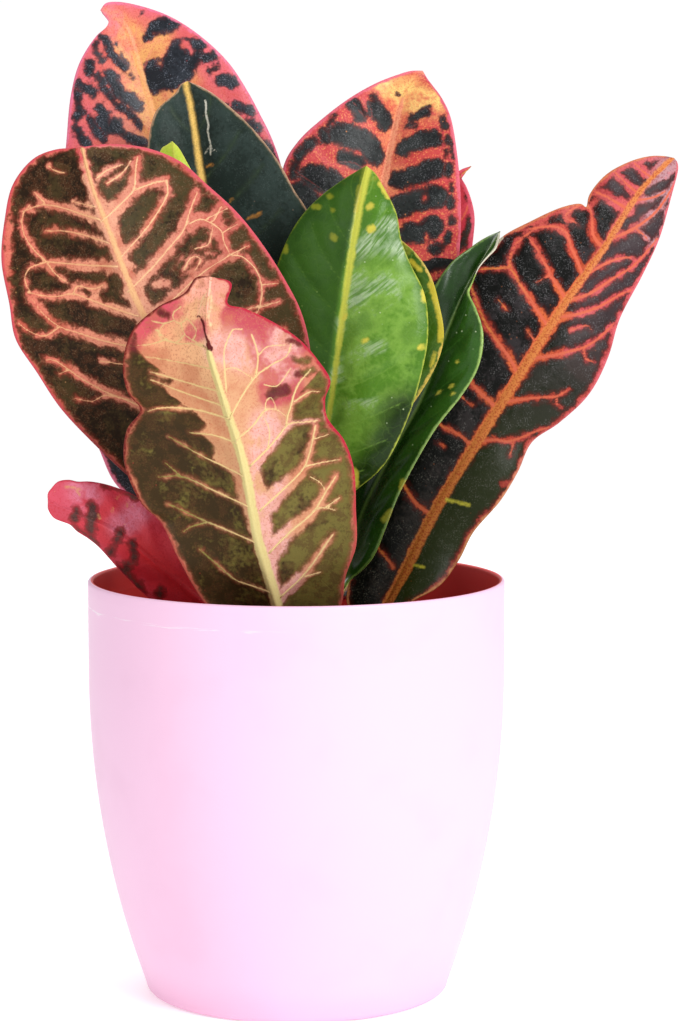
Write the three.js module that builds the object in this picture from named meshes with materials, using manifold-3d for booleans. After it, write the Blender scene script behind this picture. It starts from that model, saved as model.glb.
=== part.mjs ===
// A croton in a round plastic pot. Millimetres, +Z up, origin under the middle of the pot, -Y its front.
// The plant has one stem and fourteen large leaves. Each leaf is one closed solid: a round stalk that
// opens into a blade with a raised rib on its underside, spun between three curves in space: its rib
// and its left and right margins, as seen from the front with the tip up.
import * as THREE from 'three';
import { mergeVertices } from 'three/addons/utils/BufferGeometryUtils.js';
import Module from 'manifold-3d';

const wasm = await Module();
wasm.setup();

// Pot
const potHeight = 120;
const potRadius = 60;
const potTaper = 16.9;
const potTaperTop = 95;
const potTaperPower = 2.09;
const potCorner = 2.5;
const potWall = 1.8;
const potFloor = 2.5;
const potLip = 1.6;
const potLipDepth = 8;
const potSides = 48;
const sideRows = 10;
const drainRadius = 4;
const drainRing = 24;
const drainCount = 4;

// Soil and the gap that every pair of touching pieces keeps
const gap = 0.3;
const soilEdge = 92;
const soilCrown = 3;

// Stem, a slim cone that leans a little and stands in a hole in the soil
const stemSides = 12;
const stemRows = 10;
const stemRadius = 4.2;
const stemTopRadius = 2.6;
const stemLine = [[2, 6, 50], [2, 6, 95], [2.5, 7, 135], [3, 8, 168]];
const stubSides = 10;
const stubLength = 5;
const stubRadius = 2.4;
const stubTipRadius = 1.8;

// Leaves. Each half of a blade has three columns of points, at the rib's edge, at bladeMiddle of the
// way to the margin and at the margin.
const bladeThickness = 0.9;
const bladeMiddle = 0.55;
const stalkRadius = 1.5;
const ribRise = 1.9;
const ribHalf = 1.6;
const ribThinning = 0.7;
const stalkRows = 3;
const lastRow = 0.99;
const rowCrowding = 1.3;
const ribLag = 1.15;

const leafParts = [
  {
    name: 'leaf_front', colour: 0xb98765, stalk: 0.09, rows: 24, arch: -0.07, underFront: true,
    rib: [
      [2, 1, 102], [1.5, -5, 103.5], [-1, -17, 106], [-5, -30, 112], [-6, -37, 118],
      [-11, -42, 136], [-14.5, -45, 158], [-19, -46, 175], [-23, -46, 191], [-22, -43, 208],
    ],
    left: [
      [-15, -28, 107], [-25.5, -34, 118], [-32, -38, 130], [-37, -37, 140.5], [-42.5, -34, 145.5],
      [-47, -34, 156.5], [-46, -38, 166], [-42, -43, 172], [-45.5, -40, 176.5], [-47, -35, 184.5],
      [-44.5, -33, 193], [-37.5, -35, 199.5], [-30, -38, 203.5], [-26.5, -41, 208],
    ],
    right: [
      [8, -27, 106], [13, -32, 117], [14, -35, 125.5], [17, -38, 134], [17, -37, 144],
      [16.5, -34, 154.5], [14, -36, 162.5], [9, -42, 170], [8.5, -41, 174.5], [10, -37, 179.5],
      [6.5, -35, 185], [1, -36, 191], [-6.5, -38, 196], [-13.5, -41, 199.5], [-18, -44, 201],
      [-17, -44, 206.5],
    ],
  },
  {
    name: 'leaf_left', colour: 0x5a4032, stalk: 0.12, rows: 20, arch: -0.07, underFront: true,
    rib: [
      [-0.5, 3, 126], [-3.5, -1, 129], [-13, -12, 143], [-28, -22, 168], [-43.5, -26, 197],
      [-52, -25, 218.5], [-57, -23, 231.5], [-60.5, -18, 243],
    ],
    left: [
      [-22, -12, 142], [-37, -16, 143], [-48, -17, 152], [-57.5, -17, 161], [-66, -14, 170],
      [-73, -12, 180], [-78.5, -14, 189.5], [-80, -17, 199.5], [-82.5, -14, 211.5],
      [-81.5, -12, 223], [-79, -13, 233], [-73, -15, 240], [-66.5, -16, 242.5],
    ],
    right: [
      [-8, -14, 147], [0, -16, 161], [4.5, -18, 177], [4, -18, 188], [1.5, -16, 197.5],
      [-2.5, -14, 205.5], [-9, -15, 216], [-16, -17, 225], [-24.5, -18, 233], [-32, -17, 239.5],
      [-41, -16, 243], [-51.5, -16, 244],
    ],
  },
  {
    name: 'leaf_low_left', colour: 0xc04050, stalk: 0.1, rows: 20, arch: 0.05, underFront: true,
    rib: [
      [-2.5, 3.5, 100], [-6, 1, 101.5], [-13, -1.5, 104.5], [-23.5, -4, 111], [-37.5, -7, 123],
      [-52, -9, 135], [-70.5, -10, 143.5],
    ],
    left: [
      [-17, -1, 103], [-32, -3, 108.5], [-42.5, -5, 115], [-50, -6, 122.5], [-56.5, -7, 130],
      [-59.5, -7.5, 132.5], [-62.5, -8, 134.5], [-64.5, -8.5, 136.5], [-67, -9, 137.5],
      [-69, -9.5, 138.5], [-70.5, -10, 141],
    ],
    right: [
      [-12, -1, 106.5], [-25.5, -4.5, 122.5], [-32.5, -6.5, 133], [-41, -7.5, 141.5],
      [-47.5, -8, 145.5], [-52.5, -8.5, 147.5], [-56, -9.5, 148.5], [-59, -10.5, 149],
      [-62, -11, 149], [-64.5, -11, 149.5], [-67.5, -11, 149], [-69.5, -11, 147],
      [-70.5, -10.5, 145.5],
    ],
  },
  {
    name: 'leaf_bright_green', colour: 0x4f9a2c, stalk: 0.05, rows: 18, arch: 0.09, underFront: false,
    rib: [
      [3.5, 2, 134], [4, -1, 137], [4.5, -4, 148], [8.5, -6, 164.5], [11, -7, 182], [13, -6, 197.5],
      [15.5, -4, 214.5], [18, 0, 228.5], [20, 4, 238],
    ],
    left: [
      [-2, -3, 147], [-6, -6, 160], [-8, -8, 180], [-7.5, -9, 200], [-4.5, -8, 212.5],
      [0.5, -5, 222.5], [7, -1, 229.5], [14, 2, 234.5],
    ],
    right: [
      [10, -5, 140.5], [17.5, -8, 146.5], [25, -10, 153.5], [31, -11, 165], [35.5, -10, 179],
      [37.5, -9, 190.5], [36.5, -7, 202], [32.5, -5, 210.5], [30, -4, 217], [28.5, -2, 225],
      [25, 1, 232], [22.5, 3, 236],
    ],
  },
  {
    name: 'leaf_green_edge', colour: 0x5c8a2a, stalk: 0.12, rows: 14, arch: 0.04, underFront: false,
    rib: [
      [7.5, 7.5, 146], [10, 8, 149.5], [14, 8.5, 158], [20, 9, 170.5], [26.5, 9, 191],
      [28.5, 9, 207], [30, 8, 217],
    ],
    left: [[12, 9, 160], [8, 9, 178], [12, 9, 196], [20, 8, 209], [26, 8, 215]],
    right: [
      [22, 8, 157], [33, 6, 169], [40.5, 6, 181.5], [42.5, 6, 189.5], [41, 7, 199],
      [38.5, 7, 207], [34.5, 8, 213],
    ],
  },
  {
    name: 'leaf_folded', colour: 0x2f6b22, stalk: 0.07, rows: 22, arch: 0.06, underFront: false,
    rib: [
      [7, 4.5, 111.5], [10.5, 4, 114], [14, 5, 119], [18.5, 9, 136], [26.5, 11, 152.5], [36, 14, 170],
      [43.5, 16, 189.5], [50, 19, 204], [59.5, 25, 219],
    ],
    left: [
      [12, 9, 124], [16, 11, 141], [22, 12, 158.5], [29, 13, 176], [35, 14, 192], [40, 15, 203.5],
      [45, 17, 210.5], [50.5, 19, 214.5], [55.5, 23, 217.5],
    ],
    right: [
      [16, 5, 119], [21.5, 3, 125], [25.5, 3, 134], [31, 4, 146.5], [39, 6, 161], [47.5, 8, 172],
      [52.5, 9, 180.5], [54, 11, 189.5], [52, 13, 197], [50, 15.5, 201.5], [51, 17.5, 204],
      [53, 18.5, 208.5], [55.5, 19.5, 211.5], [58, 21, 214], [59, 23, 216.5],
    ],
  },
  {
    name: 'leaf_right', colour: 0x3a2420, stalk: 0.1, rows: 26, arch: 0.07, underFront: false,
    rib: [
      [7.5, 7, 103.5], [14, 8.5, 103], [21, 9, 104.5], [26.5, 10, 112.5], [39, 14, 137.5],
      [52, 17, 159], [63.5, 20, 177], [77, 25, 197.5], [90.5, 31, 216], [101, 36, 230],
      [111.5, 40, 240.5],
    ],
    left: [
      [15, 10, 110], [17, 13, 124], [24, 17, 147], [33, 20, 170], [42, 22, 190], [50, 23, 206],
      [59.5, 25, 217], [68.5, 26, 222], [77.5, 28, 226], [83, 30, 227], [85, 32, 226],
      [86, 33, 229.5], [91, 34, 235.5], [98.5, 36, 239.5], [104.5, 38, 241], [108.5, 39, 241],
    ],
    right: [
      [26, 8, 105.5], [33.5, 6, 112], [41.5, 8, 116.5], [47.5, 12, 124], [51.5, 14, 131.5],
      [59.5, 14, 141], [64.5, 16, 149], [69, 20, 157.5], [77, 22, 163], [85.5, 24, 171],
      [91.5, 27, 182], [95.5, 30, 193.5], [102, 33, 206], [107.5, 36, 217.5], [111, 39, 229],
      [113, 41, 237.5], [112.5, 41, 239.5],
    ],
  },
  {
    name: 'leaf_dark_green', colour: 0x26332a, stalk: 0.1, rows: 18, arch: 0.07, underFront: false,
    rib: [
      [1.5, 12, 150], [0.5, 14, 153.5], [-3, 15.5, 160], [-15, 17, 184.5], [-23.5, 18, 213],
      [-27.5, 19, 238], [-30, 19, 255], [-31.5, 18, 262.5],
    ],
    left: [
      [-12, 13, 167], [-27, 13, 179], [-40, 12, 196], [-45.5, 12, 218], [-43, 13, 243.5],
      [-42, 14, 250], [-40.5, 15, 254], [-38, 16, 256.5], [-35, 17, 259], [-33.5, 17.5, 261.5],
    ],
    right: [
      [2.5, 16, 171], [6, 16, 190], [7, 16, 207], [3.5, 14, 224.5], [-0.5, 13, 231],
      [-5, 14, 239], [-12, 15, 248], [-20, 16, 255.5], [-26, 17, 260],
    ],
  },
  {
    name: 'leaf_young', colour: 0x9aa832, stalk: 0.14, rows: 12, arch: 0.05, underFront: false,
    rib: [
      [-1.5, 7, 158], [-5, 6, 161.5], [-12, 4, 169], [-26, 0, 194], [-32.5, -2, 223], [-35, -3, 245],
    ],
    left: [[-21, 3, 178], [-36, -1, 204], [-41.5, -3, 226], [-38, -3, 243], [-36.5, -3, 244]],
    right: [
      [-13, 3, 178], [-20, 1, 204], [-23.5, -1, 224], [-32, -1, 241], [-33.5, -2, 243.5],
      [-34.5, -2.5, 244.5],
    ],
  },
  {
    name: 'leaf_back_left', colour: 0x4a3030, stalk: 0.1, rows: 24, arch: 0.06, underFront: false,
    rib: [
      [-1.5, 9.5, 121], [-4, 11.5, 124], [-8.5, 16, 141], [-17, 25, 166.5], [-27, 33, 198.5],
      [-35.5, 38, 228], [-41, 41, 250], [-46, 43, 267.5], [-51, 44, 280.5], [-58.5, 44, 284],
    ],
    left: [
      [-15, 14, 134], [-34, 16, 135], [-52, 18, 144], [-58.5, 21, 156], [-65, 25, 172],
      [-69, 30, 199], [-70.5, 33, 224], [-68.5, 36, 243.5], [-67, 38, 259], [-64.5, 40, 268.5],
      [-59.5, 42, 276.5], [-57, 42.5, 278.5], [-56, 43, 280.5], [-57, 43.5, 282],
    ],
    right: [
      [-5, 20, 150], [-3, 27, 170], [0, 33, 195], [-1, 37, 217], [-5, 39, 238.5], [-8, 39, 247],
      [-11, 40, 253], [-14.5, 41, 259.5], [-20.5, 42, 268.5], [-29, 43, 276.5], [-37.5, 44, 282],
      [-45.5, 45, 285], [-53.5, 45, 286.5], [-57, 44.5, 286],
    ],
  },
  {
    name: 'leaf_back_right', colour: 0x55302a, stalk: 0.1, rows: 20, arch: 0.06, underFront: false,
    rib: [
      [4, 11.5, 131], [5, 14, 134.5], [8, 18, 149], [15, 24, 175.5], [20, 29, 204.5], [24.5, 33, 231],
      [28, 36, 248.5], [31.5, 38, 260], [37, 39.5, 266],
    ],
    left: [
      [0, 18, 158], [-2, 22, 178], [-4, 25, 202], [-4.5, 27, 222.5], [-4, 28, 238], [0.5, 29, 245.5],
      [7.5, 31, 252], [15.5, 33, 258], [23.5, 35, 262.5], [30, 37, 265], [33.5, 38.5, 266],
    ],
    right: [
      [16, 19, 153], [29, 24, 164], [41, 30, 184], [46.5, 32, 201.5], [48, 31, 216], [48, 29, 229.5],
      [47, 29, 241], [45, 31, 252.5], [42.5, 34, 258], [40, 36.5, 261.5], [38.5, 38, 263.5],
    ],
  },
  {
    name: 'leaf_behind', colour: 0xb04450, stalk: 0.12, rows: 20, arch: 0.05, underFront: false,
    rib: [
      [6, 10.5, 117], [8.5, 13.5, 120.5], [14, 22, 136], [30, 33, 167], [41, 38, 201],
      [45.5, 39, 221.5], [47.5, 39.5, 233], [51.5, 40, 238],
    ],
    left: [
      [10, 24, 146], [20, 33, 168], [30, 39, 196], [38, 40, 216], [44, 40, 229], [46.5, 40, 235],
      [48.5, 40, 237],
    ],
    right: [
      [22, 26, 144], [40, 35, 168], [49, 38, 195], [52, 38, 215.5], [52.5, 38, 223], [51.5, 38, 228],
      [50, 38.5, 232], [48.5, 39.5, 235], [49, 40, 236.5],
    ],
  },
  {
    name: 'leaf_rear_left', colour: 0x4a3a2c, stalk: 0.1, rows: 14, arch: 0.07, underFront: false,
    rib: [[0.5, 11, 108], [-1, 15.5, 110.5], [-4, 26, 117], [-10, 48, 138], [-16, 66, 168], [-20, 76, 204]],
    left: [[-20, 30, 121], [-34, 50, 146], [-37, 66, 174], [-28, 75, 196]],
    right: [[4, 31, 121], [5, 51, 144], [1, 69, 174], [-10, 77, 197]],
  },
  {
    name: 'leaf_rear_right', colour: 0x4a3a2c, stalk: 0.1, rows: 14, arch: 0.07, underFront: false,
    rib: [[5, 10, 105.5], [8, 14.5, 107.5], [12, 22, 112], [26, 42, 128], [42, 60, 156], [52, 70, 188]],
    left: [[9, 34, 122], [19, 54, 146], [32, 68, 172], [45, 73, 187]],
    right: [[27, 25, 115], [46, 42, 133], [60, 55, 158], [60, 66, 180]],
  },
];

function vector([x, y, z]) {
  return new THREE.Vector3(x, y, z);
}

function material(colour, roughness) {
  return new THREE.MeshStandardMaterial({ color: colour, roughness, metalness: 0 });
}

function toSolid(geometry) {
  const bare = geometry.clone();
  bare.deleteAttribute('normal');
  bare.deleteAttribute('uv');
  const merged = mergeVertices(bare, 1e-4);
  const vertProperties = new Float32Array(merged.attributes.position.array);
  const triVerts = new Uint32Array(merged.index.array);
  return new wasm.Manifold(new wasm.Mesh({ numProp: 3, vertProperties, triVerts }));
}

function toGeometry(solid) {
  const { vertProperties, triVerts } = solid.getMesh();
  const geometry = new THREE.BufferGeometry();
  geometry.setAttribute('position', new THREE.BufferAttribute(vertProperties, 3));
  geometry.setIndex(new THREE.BufferAttribute(triVerts, 1));
  geometry.computeVertexNormals();
  return geometry;
}

// Turns a profile of [radius, height] points round the Z axis, given from the bottom up its outside.
function turned(profile) {
  const points = profile.map(([radius, height]) => new THREE.Vector2(radius, height));
  return new THREE.LatheGeometry(points, potSides).rotateX(Math.PI / 2);
}

// Outside radius of the pot: upright above the taper, drawn in below it by a power curve.
function potOutside(height) {
  const below = Math.max(0, (potTaperTop - height) / potTaperTop);
  return potRadius - potTaper * below ** potTaperPower;
}

function rings(from, to, count) {
  return Array.from({ length: count + 1 }, (unused, step) => from + (to - from) * step / count);
}

// The pot's outside or inside wall, set in from its outside radius, in even steps of height.
function potSide(from, to, inset, count) {
  return rings(from, to, count).map((height) => [potOutside(height) - inset, height]);
}

function potGeometry() {
  const footRadius = potOutside(potCorner) - potCorner;
  const corner = [Math.PI / 6, Math.PI / 3].map((angle) => [
    footRadius + potCorner * Math.sin(angle), potCorner * (1 - Math.cos(angle)),
  ]);
  const outside = potSide(potCorner, potHeight - potLip / 2, 0, sideRows);
  const lip = [[potRadius - potLip / 2, potHeight], [potRadius - potLip, potHeight - potLip / 2]];
  const inside = potSide(potHeight - potLipDepth, potFloor + potCorner, potWall, sideRows);
  const floorCorner = [potOutside(potFloor) - potWall - potCorner, potFloor];
  let solid = toSolid(turned([
    [0, 0], [footRadius, 0], ...corner, ...outside, ...lip, ...inside, floorCorner, [0, potFloor],
  ]));
  for (let hole = 0; hole < drainCount; hole += 1) {
    const angle = (hole + 0.5) * 2 * Math.PI / drainCount;
    const drill = new THREE.CylinderGeometry(drainRadius, drainRadius, 4 * potFloor, stubSides);
    drill.rotateX(Math.PI / 2);
    drill.translate(drainRing * Math.cos(angle), drainRing * Math.sin(angle), potFloor / 2);
    solid = solid.subtract(toSolid(drill));
  }
  return toGeometry(solid);
}

// A round bar along a curve, its radius running evenly from the first value to the second.
function barGeometry(curve, radii, sides, rows) {
  const positions = [];
  for (let row = 0; row <= rows; row += 1) {
    const centre = curve.getPointAt(row / rows);
    const radius = THREE.MathUtils.lerp(radii[0], radii[1], row / rows);
    for (let side = 0; side < sides; side += 1) {
      const angle = 2 * Math.PI * side / sides;
      positions.push(centre.x + radius * Math.cos(angle), centre.y + radius * Math.sin(angle), centre.z);
    }
  }
  const start = curve.getPointAt(0);
  const end = curve.getPointAt(1);
  positions.push(...start.toArray(), ...end.toArray());
  const startCentre = (rows + 1) * sides;
  const indices = [];
  for (let side = 0; side < sides; side += 1) {
    const next = (side + 1) % sides;
    indices.push(startCentre, next, side);
    indices.push(startCentre + 1, rows * sides + side, rows * sides + next);
    for (let row = 0; row < rows; row += 1) {
      const low = row * sides;
      const high = low + sides;
      indices.push(low + side, low + next, high + next, low + side, high + next, high + side);
    }
  }
  const geometry = new THREE.BufferGeometry();
  geometry.setAttribute('position', new THREE.Float32BufferAttribute(positions, 3));
  geometry.setIndex(indices);
  return geometry;
}

const stemCurve = new THREE.CatmullRomCurve3(stemLine.map(vector));

// The soil fills the pot up to a low crown, with a straight hole for the foot of the stem.
function soilGeometry() {
  const side = potSide(potFloor + potCorner + gap, soilEdge, potWall + gap, sideRows);
  const floorEdge = [potOutside(potFloor) - potWall - potCorner - gap, potFloor + gap];
  const crown = [2 / 3, 1 / 3].map((share) => [
    share * potRadius, soilEdge + soilCrown * (1 - share * share),
  ]);
  const body = turned([[0, potFloor + gap], floorEdge, ...side, ...crown, [0, soilEdge + soilCrown]]);
  const foot = vector(stemLine[0]);
  const depth = potHeight - foot.z + gap;
  const hole = new THREE.CylinderGeometry(stemRadius + gap, stemRadius + gap, depth, 2 * stemSides);
  hole.rotateX(Math.PI / 2).translate(foot.x, foot.y, foot.z - gap + depth / 2);
  return toGeometry(toSolid(body).subtract(toSolid(hole)));
}

// A short stub on the stem for each leaf, its flat end a gap short of the leaf stalk's root.
function stemGeometry() {
  let solid = toSolid(barGeometry(stemCurve, [stemRadius, stemTopRadius], stemSides, stemRows));
  for (const { rib } of leafParts) {
    const curve = ribCurve(rib);
    const outward = curve.getTangentAt(0);
    const middle = curve.getPointAt(0).addScaledVector(outward, -gap - stubLength / 2);
    const stub = new THREE.CylinderGeometry(stubTipRadius, stubRadius, stubLength, stubSides);
    stub.applyQuaternion(new THREE.Quaternion().setFromUnitVectors(new THREE.Vector3(0, 1, 0), outward));
    stub.translate(...middle.toArray());
    solid = solid.add(toSolid(stub));
  }
  return toGeometry(solid);
}

function ribCurve(rib) {
  return new THREE.CatmullRomCurve3(rib.map(vector));
}

// Side vector of a row: from the left margin to the right one, square to the rib.
function squared(side, along) {
  return side.addScaledVector(along, -side.dot(along)).normalize();
}

// The ring of one stalk row: points round a circle, near face left to right, then far face back.
function stalkRing(centre, side, facing) {
  const angles = [-72, -45, -18, 0, 18, 45, 72].map((turn) => turn * Math.PI / 180);
  const place = (angle, sign) => centre.clone()
    .addScaledVector(side, stalkRadius * Math.sin(angle))
    .addScaledVector(facing, sign * stalkRadius * Math.cos(angle));
  const near = angles.map((angle) => place(angle, 1));
  const far = angles.map((angle) => place(angle, -1));
  return [...near, ...far.reverse()];
}

// The ring of one blade row. Each half runs straight from the rib to its margin and arches between
// them. The rib stands out on the underside, which faces the front where underFront is set.
function bladeRing(row, { arch, underFront }) {
  const { centre, left, right, along, share } = row;
  const side = squared(right.clone().sub(left), along);
  const facing = new THREE.Vector3().crossVectors(side, along);
  const near = [];
  const far = [];
  const column = (edge, part, turn) => {
    const half = edge.clone().sub(centre);
    const width = half.length();
    const tilt = new THREE.Vector3().crossVectors(half, along).multiplyScalar(turn).normalize();
    const normal = part === 0 ? facing : tilt;
    const middle = centre.clone().addScaledVector(half, part);
    middle.addScaledVector(normal, 4 * arch * width * part * (1 - part));
    const rise = part === 0 ? ribRise * thinning : 0;
    near.push(middle.clone().addScaledVector(normal, bladeThickness / 2 + (underFront ? rise : 0)));
    far.push(middle.clone().addScaledVector(normal, -bladeThickness / 2 - (underFront ? 0 : rise)));
  };
  const thinning = 1 - ribThinning * share;
  const ribShare = (edge) => Math.min(0.4, ribHalf * thinning / edge.distanceTo(centre));
  for (const part of [1, bladeMiddle, ribShare(left)]) column(left, part, -1);
  column(right, 0, 1);
  for (const part of [ribShare(right), bladeMiddle, 1]) column(right, part, 1);
  return [...near, ...far.reverse()];
}

function leafGeometry(leaf) {
  const curve = ribCurve(leaf.rib);
  const base = curve.getPointAt(leaf.stalk);
  const tip = curve.getPointAt(1);
  const [leftMargin, rightMargin] = [leaf.left, leaf.right].map((points) => (
    new THREE.CatmullRomCurve3([base, ...points.map(vector), tip])
  ));
  const bladeRow = (share) => {
    const place = leaf.stalk + (1 - leaf.stalk) * (share / lastRow) ** ribLag;
    return {
      centre: curve.getPointAt(place), along: curve.getTangentAt(place), share,
      left: leftMargin.getPointAt(share), right: rightMargin.getPointAt(share),
    };
  };
  const firstRow = bladeRow(0.12);
  const across = firstRow.right.clone().sub(firstRow.left);
  const ringList = [];
  for (let row = 0; row <= stalkRows; row += 1) {
    const place = leaf.stalk * row / stalkRows;
    const along = curve.getTangentAt(place);
    const side = squared(across.clone(), along);
    ringList.push(stalkRing(curve.getPointAt(place), side, new THREE.Vector3().crossVectors(side, along)));
  }
  for (let row = 1; row <= leaf.rows; row += 1) {
    const share = lastRow * (1 - (1 - row / leaf.rows) ** rowCrowding);
    ringList.push(bladeRing(bladeRow(share), leaf));
  }
  return ringsToGeometry(ringList);
}

// Closes a list of rings into a solid. Both faces of a blade are split along the same diagonals.
function ringsToGeometry(ringList) {
  const size = ringList[0].length;
  const columns = size / 2;
  const indices = [];
  const quad = (a, b, c, d, mirrored) => {
    if (mirrored) indices.push(a, b, d, b, c, d);
    else indices.push(a, b, c, a, c, d);
  };
  for (let row = 0; row < ringList.length - 1; row += 1) {
    const low = row * size;
    const high = low + size;
    for (let step = 0; step < size; step += 1) {
      const next = (step + 1) % size;
      quad(low + step, low + next, high + next, high + step, step >= columns);
    }
  }
  const last = (ringList.length - 1) * size;
  for (let step = 0; step < columns - 1; step += 1) {
    const across = size - 1 - step;
    quad(step + 1, step, across, across - 1, false);
    quad(last + step, last + step + 1, last + across - 1, last + across, false);
  }
  const geometry = new THREE.BufferGeometry();
  geometry.setAttribute('position', new THREE.Float32BufferAttribute(
    ringList.flat().flatMap((point) => point.toArray()), 3,
  ));
  geometry.setIndex(indices);
  geometry.computeVertexNormals();
  return geometry;
}

function named(name, geometry, look) {
  const mesh = new THREE.Mesh(geometry, look);
  mesh.name = name;
  return mesh;
}

const croton = new THREE.Group();
croton.add(named('pot', potGeometry(), material(0xfad2ed, 0.5)));
croton.add(named('soil', soilGeometry(), material(0x3a2a20, 0.95)));
croton.add(named('stem', stemGeometry(), material(0x6b5a42, 0.8)));
for (const leaf of leafParts) {
  croton.add(named(leaf.name, leafGeometry(leaf), material(leaf.colour, 0.35)));
}

export default croton;
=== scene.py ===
# Croton in a round pink plastic pot: finer leaves, stem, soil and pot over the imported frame.
# Metres, Z up, the front faces -Y. Leaf curves are in millimetres, and marks on a leaf are in shares:
# (up, across) with up from 0 at the blade's base to 1 at its tip, across from -1 at the left margin
# over 0 on the rib to 1 at the right margin, as seen from the front.
import math
import bpy
import numpy as np
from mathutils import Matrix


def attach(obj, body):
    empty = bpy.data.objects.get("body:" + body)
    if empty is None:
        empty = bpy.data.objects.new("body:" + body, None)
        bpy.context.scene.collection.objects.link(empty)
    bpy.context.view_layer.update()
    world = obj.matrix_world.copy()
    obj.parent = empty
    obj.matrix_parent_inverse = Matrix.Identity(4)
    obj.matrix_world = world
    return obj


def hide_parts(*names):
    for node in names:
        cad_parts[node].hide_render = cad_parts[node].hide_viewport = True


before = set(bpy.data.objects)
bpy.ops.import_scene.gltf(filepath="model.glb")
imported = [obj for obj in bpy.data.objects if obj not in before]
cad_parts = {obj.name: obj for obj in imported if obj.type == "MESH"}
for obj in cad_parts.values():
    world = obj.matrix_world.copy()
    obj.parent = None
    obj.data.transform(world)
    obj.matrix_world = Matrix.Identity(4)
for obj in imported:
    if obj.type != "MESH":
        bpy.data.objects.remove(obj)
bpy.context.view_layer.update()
scene = bpy.context.scene
scene.view_settings.view_transform = "Standard"
toMetres = 0.001
perMetre = 1000
tiny = 1e-9

# Camera and lights
view = {"place": (0.0124, -0.902, 0.238), "pitchDown": 6.23, "lens": 111.2, "sensor": 36, "near": 0.01}
studio = {
    "worldColour": (1.0, 1.0, 1.0), "worldLight": 0.56, "worldSeen": 1.02,
    "lights": [
        {"name": "keyRight", "place": (1.0, -1.2, 1.0), "size": 0.9, "power": 23.0},
        {"name": "fillLeft", "place": (-1.1, -1.0, 0.9), "size": 1.2, "power": 3.0},
        {"name": "backTop", "place": (0.0, 1.0, 1.3), "size": 1.2, "power": 9.0},
    ],
    "aim": (0.0, 0.0, 0.14),
}


def aimed(thing, target):
    offset = np.array(target) - np.array(thing.location)
    flat = math.hypot(offset[0], offset[1])
    thing.rotation_euler = (math.atan2(flat, -offset[2]), 0, math.atan2(-offset[0], offset[1]))


def setCamera():
    lens = bpy.data.cameras.new("photoCamera")
    lens.lens = view["lens"]
    lens.sensor_width = view["sensor"]
    lens.clip_start = view["near"]
    camera = bpy.data.objects.new("photoCamera", lens)
    camera.location = view["place"]
    camera.rotation_euler = (math.radians(90 - view["pitchDown"]), 0, 0)
    scene.collection.objects.link(camera)
    scene.camera = camera


def setLights():
    world = bpy.data.worlds.new("paleRoom")
    scene.world = world
    world.use_nodes = True
    background = world.node_tree.nodes["Background"]
    background.inputs["Color"].default_value = (*studio["worldColour"], 1)
    seen = world.node_tree.nodes.new("ShaderNodeLightPath")
    strength = world.node_tree.nodes.new("ShaderNodeMapRange")
    strength.inputs["To Min"].default_value = studio["worldLight"]
    strength.inputs["To Max"].default_value = studio["worldSeen"]
    world.node_tree.links.new(seen.outputs["Is Camera Ray"], strength.inputs["Value"])
    world.node_tree.links.new(strength.outputs[0], background.inputs["Strength"])
    for entry in studio["lights"]:
        lamp = bpy.data.lights.new(entry["name"], "AREA")
        lamp.size = entry["size"]
        lamp.energy = entry["power"]
        holder = bpy.data.objects.new(entry["name"], lamp)
        holder.location = entry["place"]
        aimed(holder, studio["aim"])
        scene.collection.objects.link(holder)


# One wire of a material. Sums and products of wires and numbers add the Math nodes they need.
class Wire:
    def __init__(self, net, socket):
        self.net = net
        self.socket = socket

    def maths(self, operation, first, second):
        return self.net.node("ShaderNodeMath", {"operation": operation}, {0: first, 1: second})

    def __add__(self, other):
        return self.maths("ADD", self, other)

    def __radd__(self, other):
        return self.maths("ADD", other, self)

    def __sub__(self, other):
        return self.maths("SUBTRACT", self, other)

    def __rsub__(self, other):
        return self.maths("SUBTRACT", other, self)

    def __mul__(self, other):
        return self.maths("MULTIPLY", self, other)

    def __rmul__(self, other):
        return self.maths("MULTIPLY", other, self)

    def __abs__(self):
        return self.net.node("ShaderNodeMath", {"operation": "ABSOLUTE"}, {0: self})


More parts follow.
